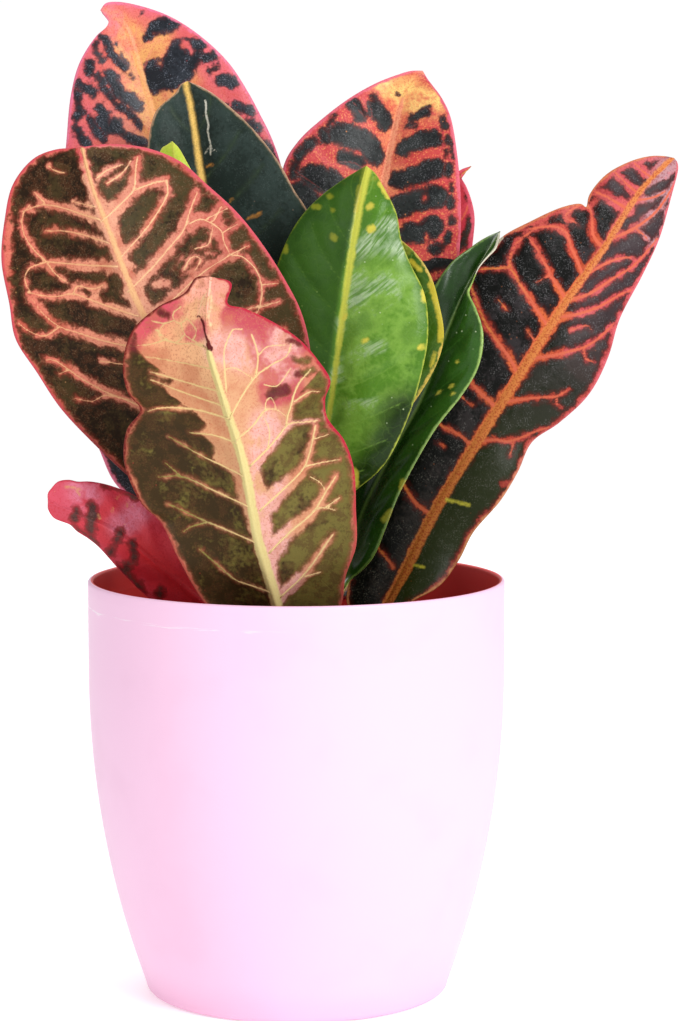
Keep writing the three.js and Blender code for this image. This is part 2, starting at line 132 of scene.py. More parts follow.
# A material being wired. node() makes any node: its type, its settings, then its sockets.
class Net:
    def __init__(self, name):
        self.material = bpy.data.materials.new(name)
        self.material.use_nodes = True
        self.tree = self.material.node_tree
        self.tree.nodes.clear()
        self.place = self.node("ShaderNodeTexCoord", {}, {}, "Object")

    def node(self, kind, settings, sockets, output=0):
        made = self.tree.nodes.new(kind)
        for key, value in settings.items():
            setattr(made, key, value)
        for key, value in sockets.items():
            if isinstance(value, Wire):
                self.tree.links.new(value.socket, made.inputs[key])
            elif isinstance(value, tuple) and len(value) == 3 and made.inputs[key].type == "RGBA":
                made.inputs[key].default_value = (*value, 1)
            else:
                made.inputs[key].default_value = value
        return Wire(self, made.outputs[output]) if made.outputs else None

    def attribute(self, name):
        return self.node("ShaderNodeAttribute", {"attribute_name": name}, {}, "Fac")

    def mix(self, first, second, share, blend="MIX"):
        settings = {"data_type": "RGBA", "blend_type": blend}
        return self.node("ShaderNodeMix", settings, {0: share, 6: first, 7: second}, 2)

    # 0 below low, 1 above high, a smooth step between
    def step(self, value, low, high):
        settings = {"interpolation_type": "SMOOTHSTEP"}
        return self.node("ShaderNodeMapRange", settings, {"Value": value, 1: low, 2: high})

    # Noise from 0 to 1 whose lumps are about the given number of millimetres wide
    def noise(self, lump, detail, where=None):
        sockets = {"Vector": where or self.place, "Scale": perMetre / lump, "Detail": detail}
        return self.node("ShaderNodeTexNoise", {}, sockets, "Fac")

    # Distance to the nearest wall of a net of cells, in cells. Noise bends the walls.
    def cells(self, size, bend):
        grid = {"Vector": self.place, "Scale": perMetre / size}
        drift = self.node("ShaderNodeTexNoise", {}, grid, "Color")
        push = {0: drift, 1: (bend * toMetres,) * 3, 2: self.place}
        grid["Vector"] = self.node("ShaderNodeVectorMath", {"operation": "MULTIPLY_ADD"}, push)
        return self.node("ShaderNodeTexVoronoi", {"feature": "DISTANCE_TO_EDGE"}, grid, "Distance")

    def stretched(self, scale):
        return self.node("ShaderNodeMapping", {}, {"Vector": self.place, "Scale": scale})

    # Closes the material with the main shader. The height feeds a bump of the given depth.
    def finish(self, colour, roughness, height, depth, steady):
        relief = {"Height": height, "Strength": 1.0, "Distance": depth * toMetres}
        bump = self.node("ShaderNodeBump", {}, relief)
        sockets = {"Base Color": colour, "Roughness": roughness, "Normal": bump, **steady}
        shader = self.node("ShaderNodeBsdfPrincipled", {}, sockets)
        self.node("ShaderNodeOutputMaterial", {}, {"Surface": shader})
        return self.material


# A colour given in 0 to 255 steps, as the shader's linear values
def paint(red, green, blue):
    steps = np.array([red, green, blue]) / 255
    linear = np.where(steps <= 0.04045, steps / 12.92, ((steps + 0.055) / 1.055) ** 2.4)
    return tuple(float(value) for value in linear)


# Millimetre points and faces become an object at the origin. One with a node rides on the root body.
def addPiece(name, points, faces, material, node, fields):
    mesh = bpy.data.meshes.new(name)
    mesh.from_pydata((points * toMetres).tolist(), [], faces)
    for key, values in fields.items():
        layer = mesh.attributes.new(key, "FLOAT", "POINT")
        layer.data.foreach_set("value", np.asarray(values, np.float32).ravel())
    mesh.shade_smooth()
    mesh.materials.append(material)
    piece = bpy.data.objects.new(name, mesh)
    scene.collection.objects.link(piece)
    if node:
        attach(piece, "root")
        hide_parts(node)
    return piece


def unit(vectors):
    return vectors / np.maximum(np.linalg.norm(vectors, axis=-1, keepdims=True), tiny)


def smooth(value):
    value = np.clip(value, 0, 1)
    return value * value * (3 - 2 * value)


# Random heights from -1 to 1 on a cubic lattice of the given size, blended smoothly between its
# corners, for any array of points.
def lumps(points, size, seed):
    side = 32
    table = np.random.default_rng(seed).uniform(-1, 1, (side, side, side))
    scaled = points / size
    corner = np.floor(scaled).astype(int)
    share = smooth(scaled - corner)
    total = 0
    for step in np.ndindex(2, 2, 2):
        index = (corner + step) % side
        weight = np.prod(np.where(step, share, 1 - share), axis=-1)
        total = total + weight * table[index[..., 0], index[..., 1], index[..., 2]]
    return total


# A centripetal Catmull-Rom curve through the points, in short straight steps with its length shares.
def smoothCurve(points, steps=60):
    points = np.asarray(points, float)
    ends = np.vstack([2 * points[0] - points[1], points, 2 * points[-1] - points[-2]])
    before, start, stop, after = ends[:-3], ends[1:-2], ends[2:-1], ends[3:]
    gaps = (start - before, stop - start, after - stop)
    spanBefore, span, spanAfter = (np.sqrt(np.linalg.norm(gap, axis=1))[:, None] for gap in gaps)
    pace = (stop - start) / span
    leave = span * ((start - before) / spanBefore - (stop - before) / (spanBefore + span) + pace)
    arrive = span * (pace - (after - start) / (span + spanAfter) + (after - stop) / spanAfter)
    share = np.linspace(0, 1, steps, endpoint=False)[None, :, None]
    start, stop, leave, arrive = (part[:, None, :] for part in (start, stop, leave, arrive))
    dense = (start + leave * share + (3 * (stop - start) - 2 * leave - arrive) * share ** 2
             + (2 * (start - stop) + leave + arrive) * share ** 3)
    dense = np.vstack([dense.reshape(-1, points.shape[1]), points[-1:]])
    lengths = np.concatenate([[0], np.cumsum(np.linalg.norm(np.diff(dense, axis=0), axis=1))])
    return {"points": dense, "share": lengths / lengths[-1], "length": lengths[-1]}


def pointAt(curve, share):
    columns = [np.interp(share, curve["share"], column) for column in curve["points"].T]
    return np.stack(columns, axis=-1)


# Quads of a tube of rings, with a flat cap at each end: rows of ring points, joined round and up.
def ringFaces(rows, size, first=0):
    low = first + np.arange(rows - 1)[:, None] * size + np.arange(size)
    side = first + np.arange(rows - 1)[:, None] * size + (np.arange(size) + 1) % size
    walls = np.stack([low, side, side + size, low + size], axis=-1).reshape(-1, 4)
    last = first + (rows - 1) * size
    caps = [list(range(first + size - 1, first - 1, -1)), list(range(last, last + size))]
    return walls.tolist() + caps


# Leaves. Sizes in millimetres, places along and across a leaf in shares.
blade = {
    "halfThickness": 0.35, "roundEdge": 0.02, "edgeSteps": (0.5, 0.15, 0), "lastRow": 0.99,
    "rowEase": 0.3, "ribLag": 1.15, "aheadStep": 0.004, "bendWidth": 4.0, "tipArch": 0.3, "tipFlat": 0.25,
    "stalkRadius": 1.5, "stalkRows": 7, "stalkTurn": 0.12, "spread": 0.055, "ribRise": 1.6,
    "upperRise": 0.3, "ribReach": 2.0, "ribThinning": 0.7, "ribFade": 40.0, "puffReach": 1.6,
    "puffFrom": 2.0, "puffFade": 4.0, "marginFade": 3.0, "flutter": 0.7, "flutterSize": 16.0,
    "flutterWidth": 12.0, "veinSteps": 16, "veinTaper": 0.5, "barSides": 6, "barHeight": 0.6,
    "barWidth": 1.2, "barTaper": 0.75, "farAway": 9.0, "washSoftness": 6.0, "pointsAtOnce": 2500,
}
# Marks of the stalk and of the raised bars, which have no cells, washes or flecks of their own
outsideMarks = {"dark": -3, "edge": 9, "wash": 0, "blush": 0, "scar": 9, "fleck": 9}
stalkMarks = {**outsideMarks, "vein": 3, "rib": -1, "across": 0, "up": 0}
barMarks = {**outsideMarks, "vein": -1, "rib": 9, "under": 1}


# Value of a grid field at (up, across) places, blended between the four nearest grid points.
def lookUp(field, up, across, places):
    row = np.interp(places[..., 0], up, np.arange(len(up)))
    column = np.interp(places[..., 1], across, np.arange(len(across)))
    lowRow = np.minimum(row.astype(int), len(up) - 2)
    lowColumn = np.minimum(column.astype(int), len(across) - 2)
    rowShare = (row - lowRow)[..., None]
    columnShare = (column - lowColumn)[..., None]
    low = field[lowRow, lowColumn] * (1 - columnShare) + field[lowRow, lowColumn + 1] * columnShare
    highRow = lowRow + 1
    high = field[highRow, lowColumn] * (1 - columnShare) + field[highRow, lowColumn + 1] * columnShare
    return low * (1 - rowShare) + high * rowShare


# Distances of points to lines [line, step, xyz] whose sizes [line, step, size] are taken off:
# first the plain nearest distance, then the nearest one less each size.
def lineGaps(points, lines, sizes):
    starts, stops = lines[:, :-1].reshape(-1, 3), lines[:, 1:].reshape(-1, 3)
    startSizes, stopSizes = (part.reshape(-1, sizes.shape[-1]) for part in (sizes[:, :-1], sizes[:, 1:]))
    run = stops - starts
    square = np.maximum((run ** 2).sum(-1), tiny)
    found = []
    for some in np.array_split(points, len(points) // blade["pointsAtOnce"] + 1):
        offset = some[:, None] - starts
        share = np.clip((offset * run).sum(-1) / square, 0, 1)
        distance = np.linalg.norm(offset - share[..., None] * run, axis=-1)
        less = distance[..., None] - startSizes - (stopSizes - startSizes) * share[..., None]
        found.append(np.concatenate([distance.min(1)[:, None], less.min(1)], axis=1))
    return np.vstack(found)


# Share paths become smooth lines of even steps, still in shares.
def sharePaths(paths):
    steps = np.linspace(0, 1, blade["veinSteps"])
    return np.array([pointAt(smoothCurve(path), steps) for path in paths])


# The blade between its three curves. A row runs from the left margin over the rib to the right one:
# point = centre + half * part + tilt * 4 * arch * width * part * (1 - part), with part from 0 on the
# rib to 1 on the margin, and less arch towards the tip. The rows below the blade are the stalk.
def bladeGrid(leaf):
    rib = smoothCurve(leaf["rib"])
    base, tip = pointAt(rib, leaf["stalk"]), pointAt(rib, 1.0)
    left, right = (smoothCurve([base, *leaf[side], tip]) for side in ("left", "right"))
    even = np.linspace(0, 1, int(max(left["length"], right["length"]) / leaf["grain"]))
    ease = blade["rowEase"]
    up = blade["lastRow"] * ((1 - ease) * even + ease / 2 * (1 - np.cos(np.pi * even)))
    place = leaf["stalk"] + (1 - leaf["stalk"]) * (up / blade["lastRow"]) ** blade["ribLag"]
    stalkPlace = np.linspace(0, leaf["stalk"], blade["stalkRows"], endpoint=False)
    place = np.concatenate([stalkPlace, place])
    up = np.concatenate([0 * stalkPlace, up])
    isBlade = (np.arange(len(up)) >= blade["stalkRows"])[:, None]
    centre = pointAt(rib, place)
    ahead, behind = np.minimum(place + blade["aheadStep"], 1), np.maximum(place - blade["aheadStep"], 0)
    along = unit(pointAt(rib, ahead) - pointAt(rib, behind))
    leftHalf = (pointAt(left, up) - centre) * isBlade
    rightHalf = (pointAt(right, up) - centre) * isBlade
    spread = smooth(up / blade["spread"])[:, None]
    span = rightHalf - leftHalf
    span = span[np.argmin(abs(up - blade["stalkTurn"]))] * (1 - spread) + span * spread
    side = unit(span - (span * along).sum(-1, keepdims=True) * along)
    facing = np.cross(side, along)
    widest = np.linalg.norm(leftHalf, axis=1).max() + np.linalg.norm(rightHalf, axis=1).max()
    inner = np.linspace(blade["roundEdge"] - 1, 1 - blade["roundEdge"], int(widest / leaf["grain"]) | 1)
    edge = 1 - blade["roundEdge"] * np.array(blade["edgeSteps"])
    across = np.concatenate([-edge[::-1], inner, edge])
    part = abs(across)[None, :, None]
    isLeft = (across < 0)[None, :, None]
    half = np.where(isLeft, leftHalf[:, None], rightHalf[:, None])
    width = np.linalg.norm(half, axis=-1, keepdims=True)
    tilt = unit(np.cross(half, along[:, None])) * np.where(isLeft, -1.0, 1.0)
    bend = smooth(width * part / blade["bendWidth"])
    normal = unit(facing[:, None] * (1 - bend) + tilt * bend)
    flatness = blade["tipArch"] + (1 - blade["tipArch"]) * smooth((1 - up) / blade["tipFlat"])
    arch = leaf["arch"] * flatness[:, None, None]
    middle = centre[:, None] + half * part + tilt * (4 * arch * width * part * (1 - part))
    return {
        "up": up, "across": across, "middle": middle, "normal": normal, "width": width[..., 0],
        "spread": spread[:, None], "centre": centre[:, None], "side": side[:, None],
        "facing": facing[:, None],
    }


# Marks of a leaf as fields on its grid, in millimetres: how far inside the dark cells a point is, and
# how far outside the veins, scars and flecks.
def leafFields(leaf, grid):
    first = blade["stalkRows"]
    bladeUp = grid["up"][first:]
    shape = grid["width"].shape
    points = grid["middle"].reshape(-1, 3)

    def placed(paths):
        return lookUp(grid["middle"][first:], bladeUp, grid["across"], sharePaths(paths))

    def markGaps(name):
        marks = leaf.get(name)
        if not marks:
            return np.full(shape, blade["farAway"])
        sizes = np.array([np.full((blade["veinSteps"], 1), half) for half, path in marks])
        return lineGaps(points, placed([path for half, path in marks]), sizes)[:, 1].reshape(shape)

    def nearness(name):
        return np.exp(-np.maximum(markGaps(name), 0) ** 2 / blade["washSoftness"])

    taper = np.linspace(0, 1, blade["veinSteps"])
    thinner, narrower = 1 - blade["veinTaper"] * taper, 1 - leaf["bandTaper"] * taper
    sizes = [np.stack([half * thinner, band * narrower], axis=-1) for half, band, path in leaf["veins"]]
    sizes = np.array(sizes) * leaf["veinScale"]
    gaps = lineGaps(points, placed([path for half, band, path in leaf["veins"]]), sizes)
    plain, vein, band = (part.reshape(shape) for part in gaps.T)
    across = grid["across"][None, :]
    up = grid["up"][:, None]
    core = np.array(leaf["core"])
    reach = np.where(
        across < 0,
        np.interp(grid["up"], core[:, 0], core[:, 1])[:, None],
        np.interp(grid["up"], core[:, 0], core[:, 2])[:, None],
    )
    toMargin = grid["width"] * (1 - abs(across))
    dark = np.minimum(np.minimum((abs(across) - reach) * grid["width"], toMargin - leaf["rim"]), band)
    dark = np.minimum(np.maximum(dark, -markGaps("cells")), markGaps("clear"))
    shift = np.interp(grid["up"], *np.array(leaf["ribShift"]).T)[:, None]
    lateral = grid["width"] * across - shift
    thin = 1 - blade["ribThinning"] * up
    ribHalf = leaf["ribHalf"] * (1 - leaf["ribThinning"] * up)
    fields = {
        "dark": dark, "vein": vein, "edge": toMargin,
        "rib": abs(lateral) - ribHalf + blade["ribFade"] * np.maximum(up - leaf["ribEnd"], 0),
        "wash": nearness("wash"), "scar": markGaps("scars"), "blush": nearness("blush"),
        "fleck": markGaps("flecks"), "across": across + 0 * dark, "up": up + 0 * dark,
    }
    for key, value in stalkMarks.items():
        fields[key][:first] = value
    return fields, plain, lateral, thin


# Raised veins on the underside: six-sided bars along the vein lines, thinner towards their ends.
def veinBars(leaf, grid, underFace, underWay):
    first = blade["stalkRows"]
    shares = sharePaths([path for half, band, path in leaf["veins"]])
    lines = lookUp(underFace[first:], grid["up"][first:], grid["across"], shares)
    normals = unit(lookUp(grid["normal"][first:], grid["up"][first:], grid["across"], shares)) * underWay
    runs = unit(np.gradient(lines, axis=1))
    sides = unit(np.cross(runs, normals))
    taper = 1 - blade["barTaper"] * np.linspace(0, 1, blade["veinSteps"])
    scale = blade["barWidth"] * leaf["veinScale"][0]
    radii = scale * np.array([half for half, band, path in leaf["veins"]])[:, None] * taper
    angles = (2 * np.pi * np.arange(blade["barSides"]) / blade["barSides"])[:, None]
    ring = sides[:, :, None] * np.cos(angles) + normals[:, :, None] * blade["barHeight"] * np.sin(angles)
    points = lines[:, :, None] + radii[..., None, None] * ring
    return points, shares


# The leaf's closed skin: near and far faces stand off the middle surface by its thickness, rib ridge and
# puffing, and run into the round stalk below. Its rows are rings that pass over both faces.
def buildLeaf(leaf):
    grid = bladeGrid(leaf)
    fields, plain, lateral, thin = leafFields(leaf, grid)
    upperWay = -1.0 if leaf["underFront"] else 1.0
    part = abs(grid["across"])[None, :]
    width = grid["width"]
    veinFade = smooth((width * part - blade["puffFrom"]) / blade["puffFade"])
    veinFade = veinFade * smooth((1 - part) * width / blade["marginFade"])
    puff = leaf["puff"] * (1 - np.exp(-(plain / blade["puffReach"]) ** 2)) * veinFade
    flutter = blade["flutter"] * part ** 3 * lumps(grid["middle"], blade["flutterSize"], leaf["seed"])
    lift = upperWay * puff + flutter * smooth(width / blade["flutterWidth"])
    middle = grid["middle"] + grid["normal"] * lift[..., None]
    rounding = np.clip((part - 1 + blade["roundEdge"]) / blade["roundEdge"], 0, 1)
    thickness = blade["halfThickness"] * np.sqrt(1 - rounding ** 2)
    ridge = 0.5 + 0.5 * np.cos(np.pi * np.clip(abs(lateral) / (blade["ribReach"] * thin), 0, 1))
    upperRise = thickness + ridge * thin * blade["upperRise"]
    underRise = thickness + ridge * thin * blade["ribRise"]
    nearRise, farRise = (underRise, upperRise) if leaf["underFront"] else (upperRise, underRise)
    turn = np.pi / 2 * grid["across"][None, :, None]
    stalk = grid["centre"] + grid["side"] * blade["stalkRadius"] * np.sin(turn)
    bulge = grid["facing"] * blade["stalkRadius"] * np.cos(turn)
    spread = grid["spread"]
    near = (stalk + bulge) * (1 - spread) + (middle + grid["normal"] * nearRise[..., None]) * spread
    far = (stalk - bulge) * (1 - spread) + (middle - grid["normal"] * farRise[..., None]) * spread
    rows, columns = near.shape[:2]
    points = np.concatenate([near, far[:, -2:0:-1]], axis=1).reshape(-1, 3)
    size = 2 * columns - 2
    faces = ringFaces(rows, size)[:-2]
    # Quads between the two faces close the first and the last ring, with a triangle at each end
    step = np.arange(columns - 1)
    for start, way in ((0, 1), ((rows - 1) * size, -1)):
        strip = np.stack([step + 1, step, -step % size, -(step + 1) % size], axis=-1)[:, ::way] + start
        faces += strip[1:-1].tolist() + [list(dict.fromkeys(strip[0].tolist()))]
        faces += [list(dict.fromkeys(strip[-1].tolist()))]
    under = np.full((rows, columns), 1.0 if leaf["underFront"] else 0.0)
    values = {
        key: np.concatenate([field, field[:, -2:0:-1]], axis=1).ravel() for key, field in fields.items()
    }
    values["under"] = np.concatenate([under, 1 - under[:, -2:0:-1]], axis=1).ravel()
    underFace, underWay = (near, 1.0) if leaf["underFront"] else (far, -1.0)
    bars, shares = veinBars(leaf, grid, underFace, underWay)
    lines, steps, sides = bars.shape[:3]
    for line in range(lines):
        faces += ringFaces(steps, sides, len(points) + line * steps * sides)
    for key, value in barMarks.items():
        values[key] = np.concatenate([values[key], np.full(lines * steps * sides, value)])
    for key, index in (("up", 0), ("across", 1)):
        values[key] = np.concatenate([values[key], np.repeat(shares[..., index], sides)])
    points = np.vstack([points, bars.reshape(-1, 3)])
    name = leaf["name"]
    piece = addPiece(name + "_blade", points, faces, leafMaterial(leaf), name, values)
    print("leaf", name, len(piece.data.loops) - 2 * len(piece.data.polygons), "triangles")


# Where each mark of a face starts and ends, in its own measure: millimetres, shares or a noise's value
edges = {
    "blush": (0.2, 1.0), "blushAndSheenReach": (0.02, 0.2), "wash": (0.3, 0.55), "leftHalf": (-0.12, 0.02),
    "deep": (0.48, 0.66), "grain": (0.52, 0.64), "granules": (0.36, 0.46), "shore": (-0.8, 0.1),
    "shoreInside": (0.2, 1.3), "darkToo": (0.38, 0.64), "warm": (0.45, 0.62), "lowRight": (-0.05, 0.1),
    "spark": (0.52, 0.7), "sparkPatch": (0.4, 0.6), "netLine": (0.01, 0.05), "farSide": (-0.6, -0.25),
    "farUp": (0.62, 0.68), "vein": (-0.15, 0.3), "ribSpeck": (0.48, 0.6), "rimSides": (-0.2, 0.2),
    "rimLow": (0.25, 0.5), "rimDeep": (0.5, 0.68), "fleck": (-0.5, 0.5), "scar": (-0.1, 0.3),
    "streak": (0.42, 0.6), "dot": (0.04, 0.1), "dotPatch": (0.42, 0.56), "under": (0.3, 0.7),
    "netGroove": (0.0, 0.12), "rightHalf": (-0.15, 0.0),
}


# One face of a leaf. The ground runs from the rib's colour over the middle's to the margin's, with the
# tip, blush and painted sheen, wash, painted light on the left top, mottling and granules over it. Dark
# cells with ragged edges and painted glints lie on that, then come dots, veinlets, veins, the rib, the
# margin, flecks and scars, and painted shade on the left half and the lower blade.
def faceColour(net, marks, tones):
    # A mark made uneven by shares of the leaf's noises
    def uneven(value, **shares):
        for name, share in shares.items():
            value = value + (marks[name] - 0.5) * share
        return value

    def above(value, edge):
        return net.step(value, *edges[edge])

    def below(value, edge):
        return 1 - above(value, edge)

    up, side, lump, grit = marks["up"], marks["across"], marks["lump"], marks["grit"]
    fade = tones["tipFade"]
    # Ground
    spread = uneven(abs(side), lump=0.6)
    isMiddle = net.step(spread, tones["innerFrom"], tones["innerEnd"])
    colour = net.mix(tones["inner"], tones["middle"], isMiddle)
    colour = net.mix(colour, tones["outer"], net.step(spread, tones["innerEnd"], 1.0))
    isTip = net.step(uneven(up, lump=0.2), tones["tipFrom"], tones["tipFrom"] + fade)
    colour = net.mix(colour, tones["tip"], isTip)
    # Blush: pink colour on most leaves; on the bright green leaf a painted sheen, broken into streaks
    blush = above(uneven(marks["blush"], mottle=1.6, fine=0.5), "blush")
    blush = blush * above(marks["blush"], "blushAndSheenReach") * (1 - marks["streak"] * tones["streaky"])
    colour = net.mix(colour, tones["blushTone"], blush * tones["blushing"])
    wash = marks["wash"] * above(uneven(marks["mottle"], fine=0.3), "wash")
    colour = net.mix(colour, tones["washTone"], wash)
    # Painted light: the left half's top lightened where it faces away from the lamps
    isLeft = below(side, "leftHalf")
    isTop = net.step(up, tones["topFrom"], tones["topFrom"] + fade)
    colour = net.mix(colour, tones["leftTop"], isLeft * isTop, "MULTIPLY")
    colour = net.mix(colour, tones["deep"], above(marks["mottle"], "deep") * tones["mottling"])
    colour = net.mix(colour, tones["deep"], above(grit, "grain") * tones["grain"])
    colour = net.mix(colour, tones["dotTone"], below(grit, "granules") * tones["granules"])
    # Dark cells and the shore round them
    ragged = tones["ragged"]
    depth = uneven(marks["dark"], lump=2.4 * ragged, fine=0.7 * ragged, grit=0.25)
    colour = net.mix(colour, tones["shore"], above(depth, "shore") * tones["shoreShare"])
    change = uneven(marks["mottle"], fine=0.5) + side * tones["darkSlope"]
    dark = net.mix(tones["dark"], tones["darkToo"], above(change, "darkToo"))
    dark = net.mix(dark, tones["darkWarm"], above(uneven(lump, grit=0.5), "warm") * tones["warmShare"])
    dark = net.mix(dark, tones["blushDark"], blush)
    low = 1 - net.step(up, tones["lowFrom"], tones["lowEnd"])
    dark = net.mix(dark, tones["lowDark"], low * above(side, "lowRight") * tones["lowShare"])
    shoreInside = below(depth, "shoreInside") * tones["shoreShare"] * tones["shoreInside"]
    dark = net.mix(dark, tones["shore"], shoreInside)
    # Painted glints: pale specks over the dark cells
    sparks = above(marks["spark"], "spark") * above(lump, "sparkPatch")
    dark = net.mix(dark, tones["spark"], sparks * tones["sparkle"])
    colour = net.mix(colour, dark, net.step(depth, -tones["soft"], tones["soft"]))
    # Dots, veinlets, veins and rib
    colour = net.mix(colour, tones["dotTone"], marks["dots"] * tones["dotting"])
    near = 1 - net.step(depth, tones["netReach"] * tones["netFrom"], tones["netReach"])
    netting = below(marks["net"], "netLine") * near * tones["netting"]
    colour = net.mix(colour, tones["vein"], netting)
    veinTone = net.mix(tones["vein"], tones["veinFar"], below(side, "farSide") * below(up, "farUp"))
    isVein = below(uneven(marks["vein"], fine=0.5), "vein")
    colour = net.mix(colour, veinTone, isVein * tones["veining"])
    ribTone = net.mix(tones["rib"], tones["ribSpeck"], above(grit, "ribSpeck") * tones["speckle"])
    ribEdge = uneven(marks["rib"], fine=0.6, lump=0.8)
    colour = net.mix(colour, ribTone, 1 - net.step(ribEdge, -tones["ribSoft"], tones["ribSoft"]))
    # Margin, flecks, scars, and painted shade on the left half and the lower blade
    rimTone = net.mix(tones["marginLeft"], tones["margin"], above(side, "rimSides"))
    rimTone = net.mix(tones["marginLow"], rimTone, above(up, "rimLow"))
    rimTone = net.mix(rimTone, tones["deep"], above(marks["fine"], "rimDeep") * tones["rimDeep"])
    rim = uneven(marks["edge"], lump=1.6 * tones["rimRagged"], fine=0.6 * tones["rimRagged"])
    isRim = 1 - net.step(rim, tones["rimEnd"] - tones["rimInside"], tones["rimEnd"] + tones["rimOutside"])
    colour = net.mix(colour, rimTone, isRim)
    colour = net.mix(colour, tones["fleckTone"], below(uneven(marks["fleck"], fine=1.0), "fleck"))
    colour = net.mix(colour, tones["scarTone"], below(uneven(marks["scar"], grit=0.5), "scar"))
    # Painted shade: the left half darkened where it faces away from the lamps, the lower blade where other
    # leaves shade it
    colour = net.mix(colour, tones["leftTint"], isLeft, "MULTIPLY")
    return net.mix(colour, tones["lowTint"], low, "MULTIPLY")


# Noises are (lump size in millimetres, detail). Streaks run out and up from the rib, as side veins do.
leafLook = {
    "noises": {
        "lump": (3.0, 2), "mottle": (9.0, 3), "fine": (1.1, 2), "grit": (0.55, 2), "spark": (0.4, 1),
    },
    "netSize": 3.4, "netBend": 3.2, "streak": (0.9, 2), "streakWidth": 0.003, "streakLength": 0.1,
    "streakSlant": 0.13, "dotGap": 3.2, "roughSpread": 0.3, "coatRough": 0.22, "netRelief": 0.25,
    "relief": {"grit": 0.3, "lump": 0.7, "fine": 0.3},
}


# A face's colours as shader values. Its painted light and shade are shares to multiply by, so they stay as
# they are.
def painted(tones):
    tints = ("leftTop", "leftTint", "lowTint")
    return {
        name: paint(*tone) if isinstance(tone, tuple) and name not in tints else tone
        for name, tone in tones.items()
    }


def leafMaterial(leaf):
    net = Net(leaf["name"] + "_look")
    names = ("dark", "vein", "rib", "edge", "wash", "blush", "scar", "fleck", "across", "up", "under")
    marks = {name: net.attribute(name) for name in names}
    for name, noise in leafLook["noises"].items():
        marks[name] = net.noise(*noise)
    marks["net"] = net.cells(leafLook["netSize"], leafLook["netBend"])
    side = marks["across"]
    rise = (marks["up"] - abs(side) * leafLook["streakSlant"]) * leafLook["streakLength"]
    run = net.node("ShaderNodeCombineXYZ", {}, {0: side * leafLook["streakWidth"], 1: rise})
    marks["streak"] = net.step(net.noise(*leafLook["streak"], run), *edges["streak"])
    dotSockets = {"Vector": net.place, "Scale": perMetre / leafLook["dotGap"]}
    toDot = net.node("ShaderNodeTexVoronoi", {}, dotSockets, "Distance")
    dotPatch = net.step(marks["mottle"], *edges["dotPatch"])
    marks["dots"] = (1 - net.step(toDot, *edges["dot"])) * dotPatch
    upper, under = (painted({**plainTones, **leaf[face]}) for face in ("upper", "under"))
    for tones in (upper, under):
        for key, other in (
            ("marginLeft", "margin"), ("marginLow", "margin"), ("blushDark", "dark"), ("veinFar", "vein"),
        ):
            tones.setdefault(key, tones[other])
    isUnder = net.step(marks["under"], *edges["under"])
    colour = net.mix(faceColour(net, marks, upper), faceColour(net, marks, under), isUnder)
    roughness = isUnder * (under["rough"] - upper["rough"]) + upper["rough"]
    roughness = roughness + (marks["lump"] - 0.5) * leafLook["roughSpread"]
    isRight = net.step(side, *edges["rightHalf"])
    roughness = roughness + (1 - isRight) * leaf["leftRough"]
    height = net.step(marks["net"], *edges["netGroove"]) * leafLook["netRelief"]
    for name, share in leafLook["relief"].items():
        height = height + marks[name] * share
    steady = {
        "Coat Weight": isRight * leaf["coat"] if leaf["leftRough"] else leaf["coat"],
        "Coat Roughness": leafLook["coatRough"],
        "Specular IOR Level": leaf["specular"],
    }
    return net.finish(colour, roughness, height, leaf["bump"], steady)


# What a leaf has where its own dictionary says nothing else, and what each of its faces has. The plain
# core passes both margins, so such a leaf has no dark cells but those that it lists.
plainLeaf = {
    "underFront": False, "coat": 0.0, "core": [(0, 2, 2), (1, 2, 2)], "ribShift": [(0, 0)], "ribEnd": 1.1,
    "ribThinning": 0.7, "puff": 0.4, "bandTaper": 0.4, "veinScale": (0.5, 1.3), "leftRough": 0.0,
    "specular": 0.18, "bump": 0.11, "under": {"rough": 0.5},
}
plainTones = {
    "inner": (226, 150, 105), "middle": (222, 110, 90), "outer": (215, 85, 95), "innerEnd": 0.5,
    "tip": (222, 110, 100), "tipFrom": 0.88, "tipFade": 0.1, "deep": (190, 80, 65), "mottling": 0.5,
    "grain": 0.3, "granules": 0.0, "washTone": (226, 160, 116), "blushTone": (206, 84, 112),
    "blushing": 0.8, "streaky": 0.0, "leftTop": (1.0, 1.0, 1.0), "topFrom": 0.72,
    "dotTone": (150, 130, 110), "dotting": 0.3, "dark": (20, 21, 19), "darkToo": (34, 38, 32),
    "darkSlope": 0.0, "ragged": 1.6, "soft": 0.4, "darkWarm": (88, 58, 42), "warmShare": 0.0,
    "lowDark": (58, 66, 36), "lowShare": 0.0, "lowFrom": 0.1, "lowEnd": 0.6, "shore": (100, 38, 32),
    "shoreShare": 0.6, "shoreInside": 0.7, "spark": (120, 118, 120), "sparkle": 0.35, "netting": 0.25,
    "netFrom": 0.4, "netReach": 2.0, "vein": (226, 110, 80), "veining": 1.0, "rib": (226, 160, 90),
    "ribSoft": 0.4, "ribSpeck": (190, 80, 45), "speckle": 0.4, "margin": (215, 80, 100), "rimRagged": 1.0,
    "rimEnd": 1.0, "rimInside": 0.35, "rimOutside": 0.4, "rimDeep": 0.35, "rough": 0.4,
    "fleckTone": (214, 205, 80), "scarTone": (88, 28, 28), "leftTint": (1.0, 1.0, 1.0),
    "lowTint": (1.0, 1.0, 1.0), "innerFrom": 0.05,
}
sideVein = {"wander": 0.008, "reach": (0.76, 0.92), "bendAcross": 0.5, "bendUp": 0.4}


# Plain side veins in pairs up the blade, for parts that the photograph doesn't show
def evenVeins(count, start, stop, lift, half, band, seed):
    dice = np.random.default_rng(seed)
    wander = sideVein["wander"]
    veins = []
    for way in (-1, 1):
        for foot in np.linspace(start, stop, count) + dice.uniform(-wander, wander, count):
            reach = dice.uniform(*sideVein["reach"])
            bend = (foot + sideVein["bendUp"] * lift, way * sideVein["bendAcross"] * reach)
            veins.append((half, band, [(foot, 0), bend, (foot + lift, way * reach)]))
    return veins


